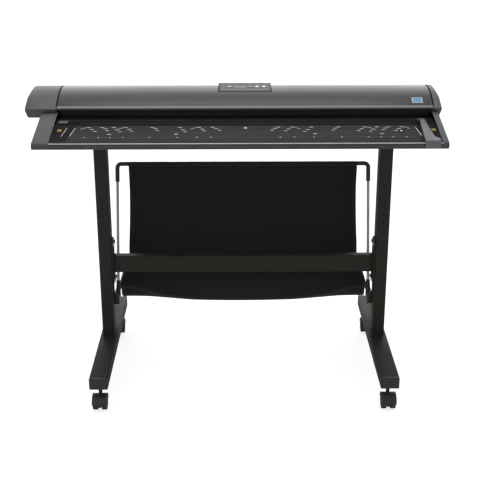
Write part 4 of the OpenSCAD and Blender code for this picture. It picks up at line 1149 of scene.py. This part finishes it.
def panel_film():
    """The printed film on the control panel, with an opening for each key."""
    bm = bmesh.new()
    half, deep = 82 * MM, 64 * MM
    corners = [(-half, 6 * MM), (half, 6 * MM), (half, 6 * MM + deep), (-half, 6 * MM + deep)]
    bm.faces.new([bm.verts.new((x, y, 0)) for x, y in corners])
    openings = [centre(name).x - SHEET_X for name in ("stop_key", "scan_key", "back_key", "forward_key")]
    half_key = (8.0 * MM, 7.0 * MM)
    cuts = [((x + side * half_key[0], 0, 0), (1, 0, 0)) for x in openings for side in (-1, 1)]
    cuts += [((0, KEY_ROW + side * half_key[1], 0), (0, 1, 0)) for side in (-1, 1)]
    for point, way in cuts:
        geom = list(bm.verts) + list(bm.edges) + list(bm.faces)
        bmesh.ops.bisect_plane(bm, geom=geom, plane_co=point, plane_no=way)
    inside = []
    for face in bm.faces:
        at = face.calc_center_median()
        if abs(at.y - KEY_ROW) < half_key[1] and any(abs(at.x - x) < half_key[0] for x in openings):
            inside.append(face)
    bmesh.ops.delete(bm, geom=inside, context="FACES")
    bmesh.ops.solidify(bm, geom=list(bm.faces), thickness=0.35 * MM)
    bmesh.ops.transform(bm, matrix=panel_place(0, 0, 0.36 * MM), verts=bm.verts)
    add_piece("panel_film", bm, overlay_film, "lid")


def status_windows():
    """Four framed status windows printed on the panel between the stop key and the scan key."""
    bm = bmesh.new()
    for i in range(4):
        place = panel_place((-31 + 9.5 * i) * MM, KEY_ROW, 0.4 * MM)
        for side in (-1, 1):
            for size, away in (((0.9 * MM, 13 * MM, 0.25 * MM), (side * 3.4 * MM, 0, 0)),
                               ((7.7 * MM, 0.9 * MM, 0.25 * MM), (0, side * 6.1 * MM, 0))):
                add_block(bm, size, place @ Matrix.Translation(away))
        add_block(bm, (4.4 * MM, 8 * MM, 0.22 * MM), place)
    add_piece("status_windows", bm, window_print, "lid")


def key_legends():
    """A lit sign on each key: a square, a triangle and two arrows."""
    for name, lamp, sides, turn in (("stop_key", lamp_red, 4, 45), ("scan_key", lamp_green, 3, 30),
                                    ("back_key", lamp_white, 3, 90), ("forward_key", lamp_white, 3, -90)):
        bm = bmesh.new()
        top = panel_place(centre(name).x - SHEET_X, KEY_ROW, 1.25 * MM)
        size = 4.6 * MM if sides == 4 else 4.9 * MM
        sign = top @ Matrix.Rotation(math.radians(turn), 4, "Z")
        bmesh.ops.create_cone(bm, cap_ends=True, segments=sides, radius1=size, radius2=size * 0.96,
                              depth=0.3 * MM, matrix=sign)
        add_piece(name + "_legend", bm, lamp, name)


def lid_rear_screws():
    bm = bmesh.new()
    rear_screws(bm, high("lid_cover").y, 66 * MM)
    add_piece("lid_screws", bm, zinc_plate, "lid")


def rear_label():
    """A plain rating plate on the rear cover, ruled into empty fields."""
    back = high("rear_cover").y
    middle = Vector((SHEET_X - 330 * MM, back, UNIT_Z + 20 * MM))
    plate = bmesh.new()
    place = Matrix.Translation(middle + Vector((0, 0.1 * MM, 0)))
    add_block(plate, (84 * MM, 0.5 * MM, 26 * MM), place, 0.15 * MM, 1)
    add_piece("rating_plate", plate, label_silver, "frame")
    rules = bmesh.new()
    lines = [((74, 0.2, 0.5), (0, 0.4, z)) for z in (-8, -3, 2, 7)]
    lines += [((0.5, 0.2, 15), (x, 0.4, -0.5)) for x in (-37, -8, 20, 37)]
    for size, away in lines:
        add_block(rules, [v * MM for v in size], Matrix.Translation(middle + Vector(away) * MM))
    add_piece("rating_plate_rules", rules, near_black_and_seam_shade, "frame")


lid_seam_shade()
lid_lip()
lid_sticker()
panel_film()
status_windows()
key_legends()
lid_rear_screws()
rear_label()


# ---- studio ----

CAMERA_PLACE = (0.0016, -3.2406, 1.6981)
CAMERA_TURN = (69.31, 0.07, -0.36)
CAMERA_LENS = 76.69
FLOOR_GLOW = 0.75       # what the camera alone sees, so that the floor is white but lights nothing


def make_floor():
    bm = bmesh.new()
    bmesh.ops.create_grid(bm, x_segments=1, y_segments=1, size=9.0)
    mesh = bpy.data.meshes.new("studio_floor")
    bm.to_mesh(mesh)
    bm.free()
    floor = put("studio_floor", mesh)
    material, tree, shader = blank_material("studio_white", grey(0.8), Roughness=0.8)
    shader.inputs["Emission Color"].default_value = grey(1.0)
    seen = node(tree, "LightPath").outputs["Is Camera Ray"]
    tree.links.new(math_of(tree, "MULTIPLY", seen, FLOOR_GLOW), shader.inputs["Emission Strength"])
    mesh.materials.append(material)


def make_light(name, place, target, size, power):
    data = bpy.data.lights.new(name, "AREA")
    data.shape = "RECTANGLE"
    data.size, data.size_y = size
    data.energy = power
    lamp = put(name, data)
    lamp.location = place
    lamp.rotation_euler = (Vector(target) - Vector(place)).to_track_quat("-Z", "Y").to_euler()


def make_world():
    """A white surround: brightest low behind the object, dimmer overhead, and dimmest in front of it."""
    world = bpy.data.worlds.new("white_surround")
    scene.world = world
    world.use_nodes = True
    tree = world.node_tree
    background = tree.nodes["Background"]
    background.inputs["Color"].default_value = grey(1.0)
    way = node(tree, "SeparateXYZ", {0: node(tree, "TexCoord").outputs["Generated"]})
    back = ramp(tree, way.outputs["Y"], 0.6, 1.0, 0.0, 1.4)
    front = ramp(tree, way.outputs["Y"], -1.0, 0.2, 0.30, 0.42)
    lit = math_of(tree, "ADD", back, front)
    seen = node(tree, "LightPath").outputs["Is Camera Ray"]
    strength = node(tree, "Mix", {0: seen, 2: lit, 3: 1.05}).outputs[0]
    tree.links.new(strength, background.inputs["Strength"])


def make_camera():
    data = bpy.data.cameras.new("studio_camera")
    data.lens = CAMERA_LENS
    data.sensor_width = 36.0
    camera = put("studio_camera", data)
    camera.location = CAMERA_PLACE
    camera.rotation_euler = [math.radians(a) for a in CAMERA_TURN]
    scene.camera = camera


make_floor()
make_world()
make_light("top_softbox", (0.0, 0.2, 3.2), (0, 0.1, 0.9), (3.0, 1.8), 22)
make_light("front_softbox", (-1.2, -3.4, 2.6), (0, 0, 0.7), (2.2, 1.6), 7)
make_camera()
scene.view_settings.view_transform = "Standard"
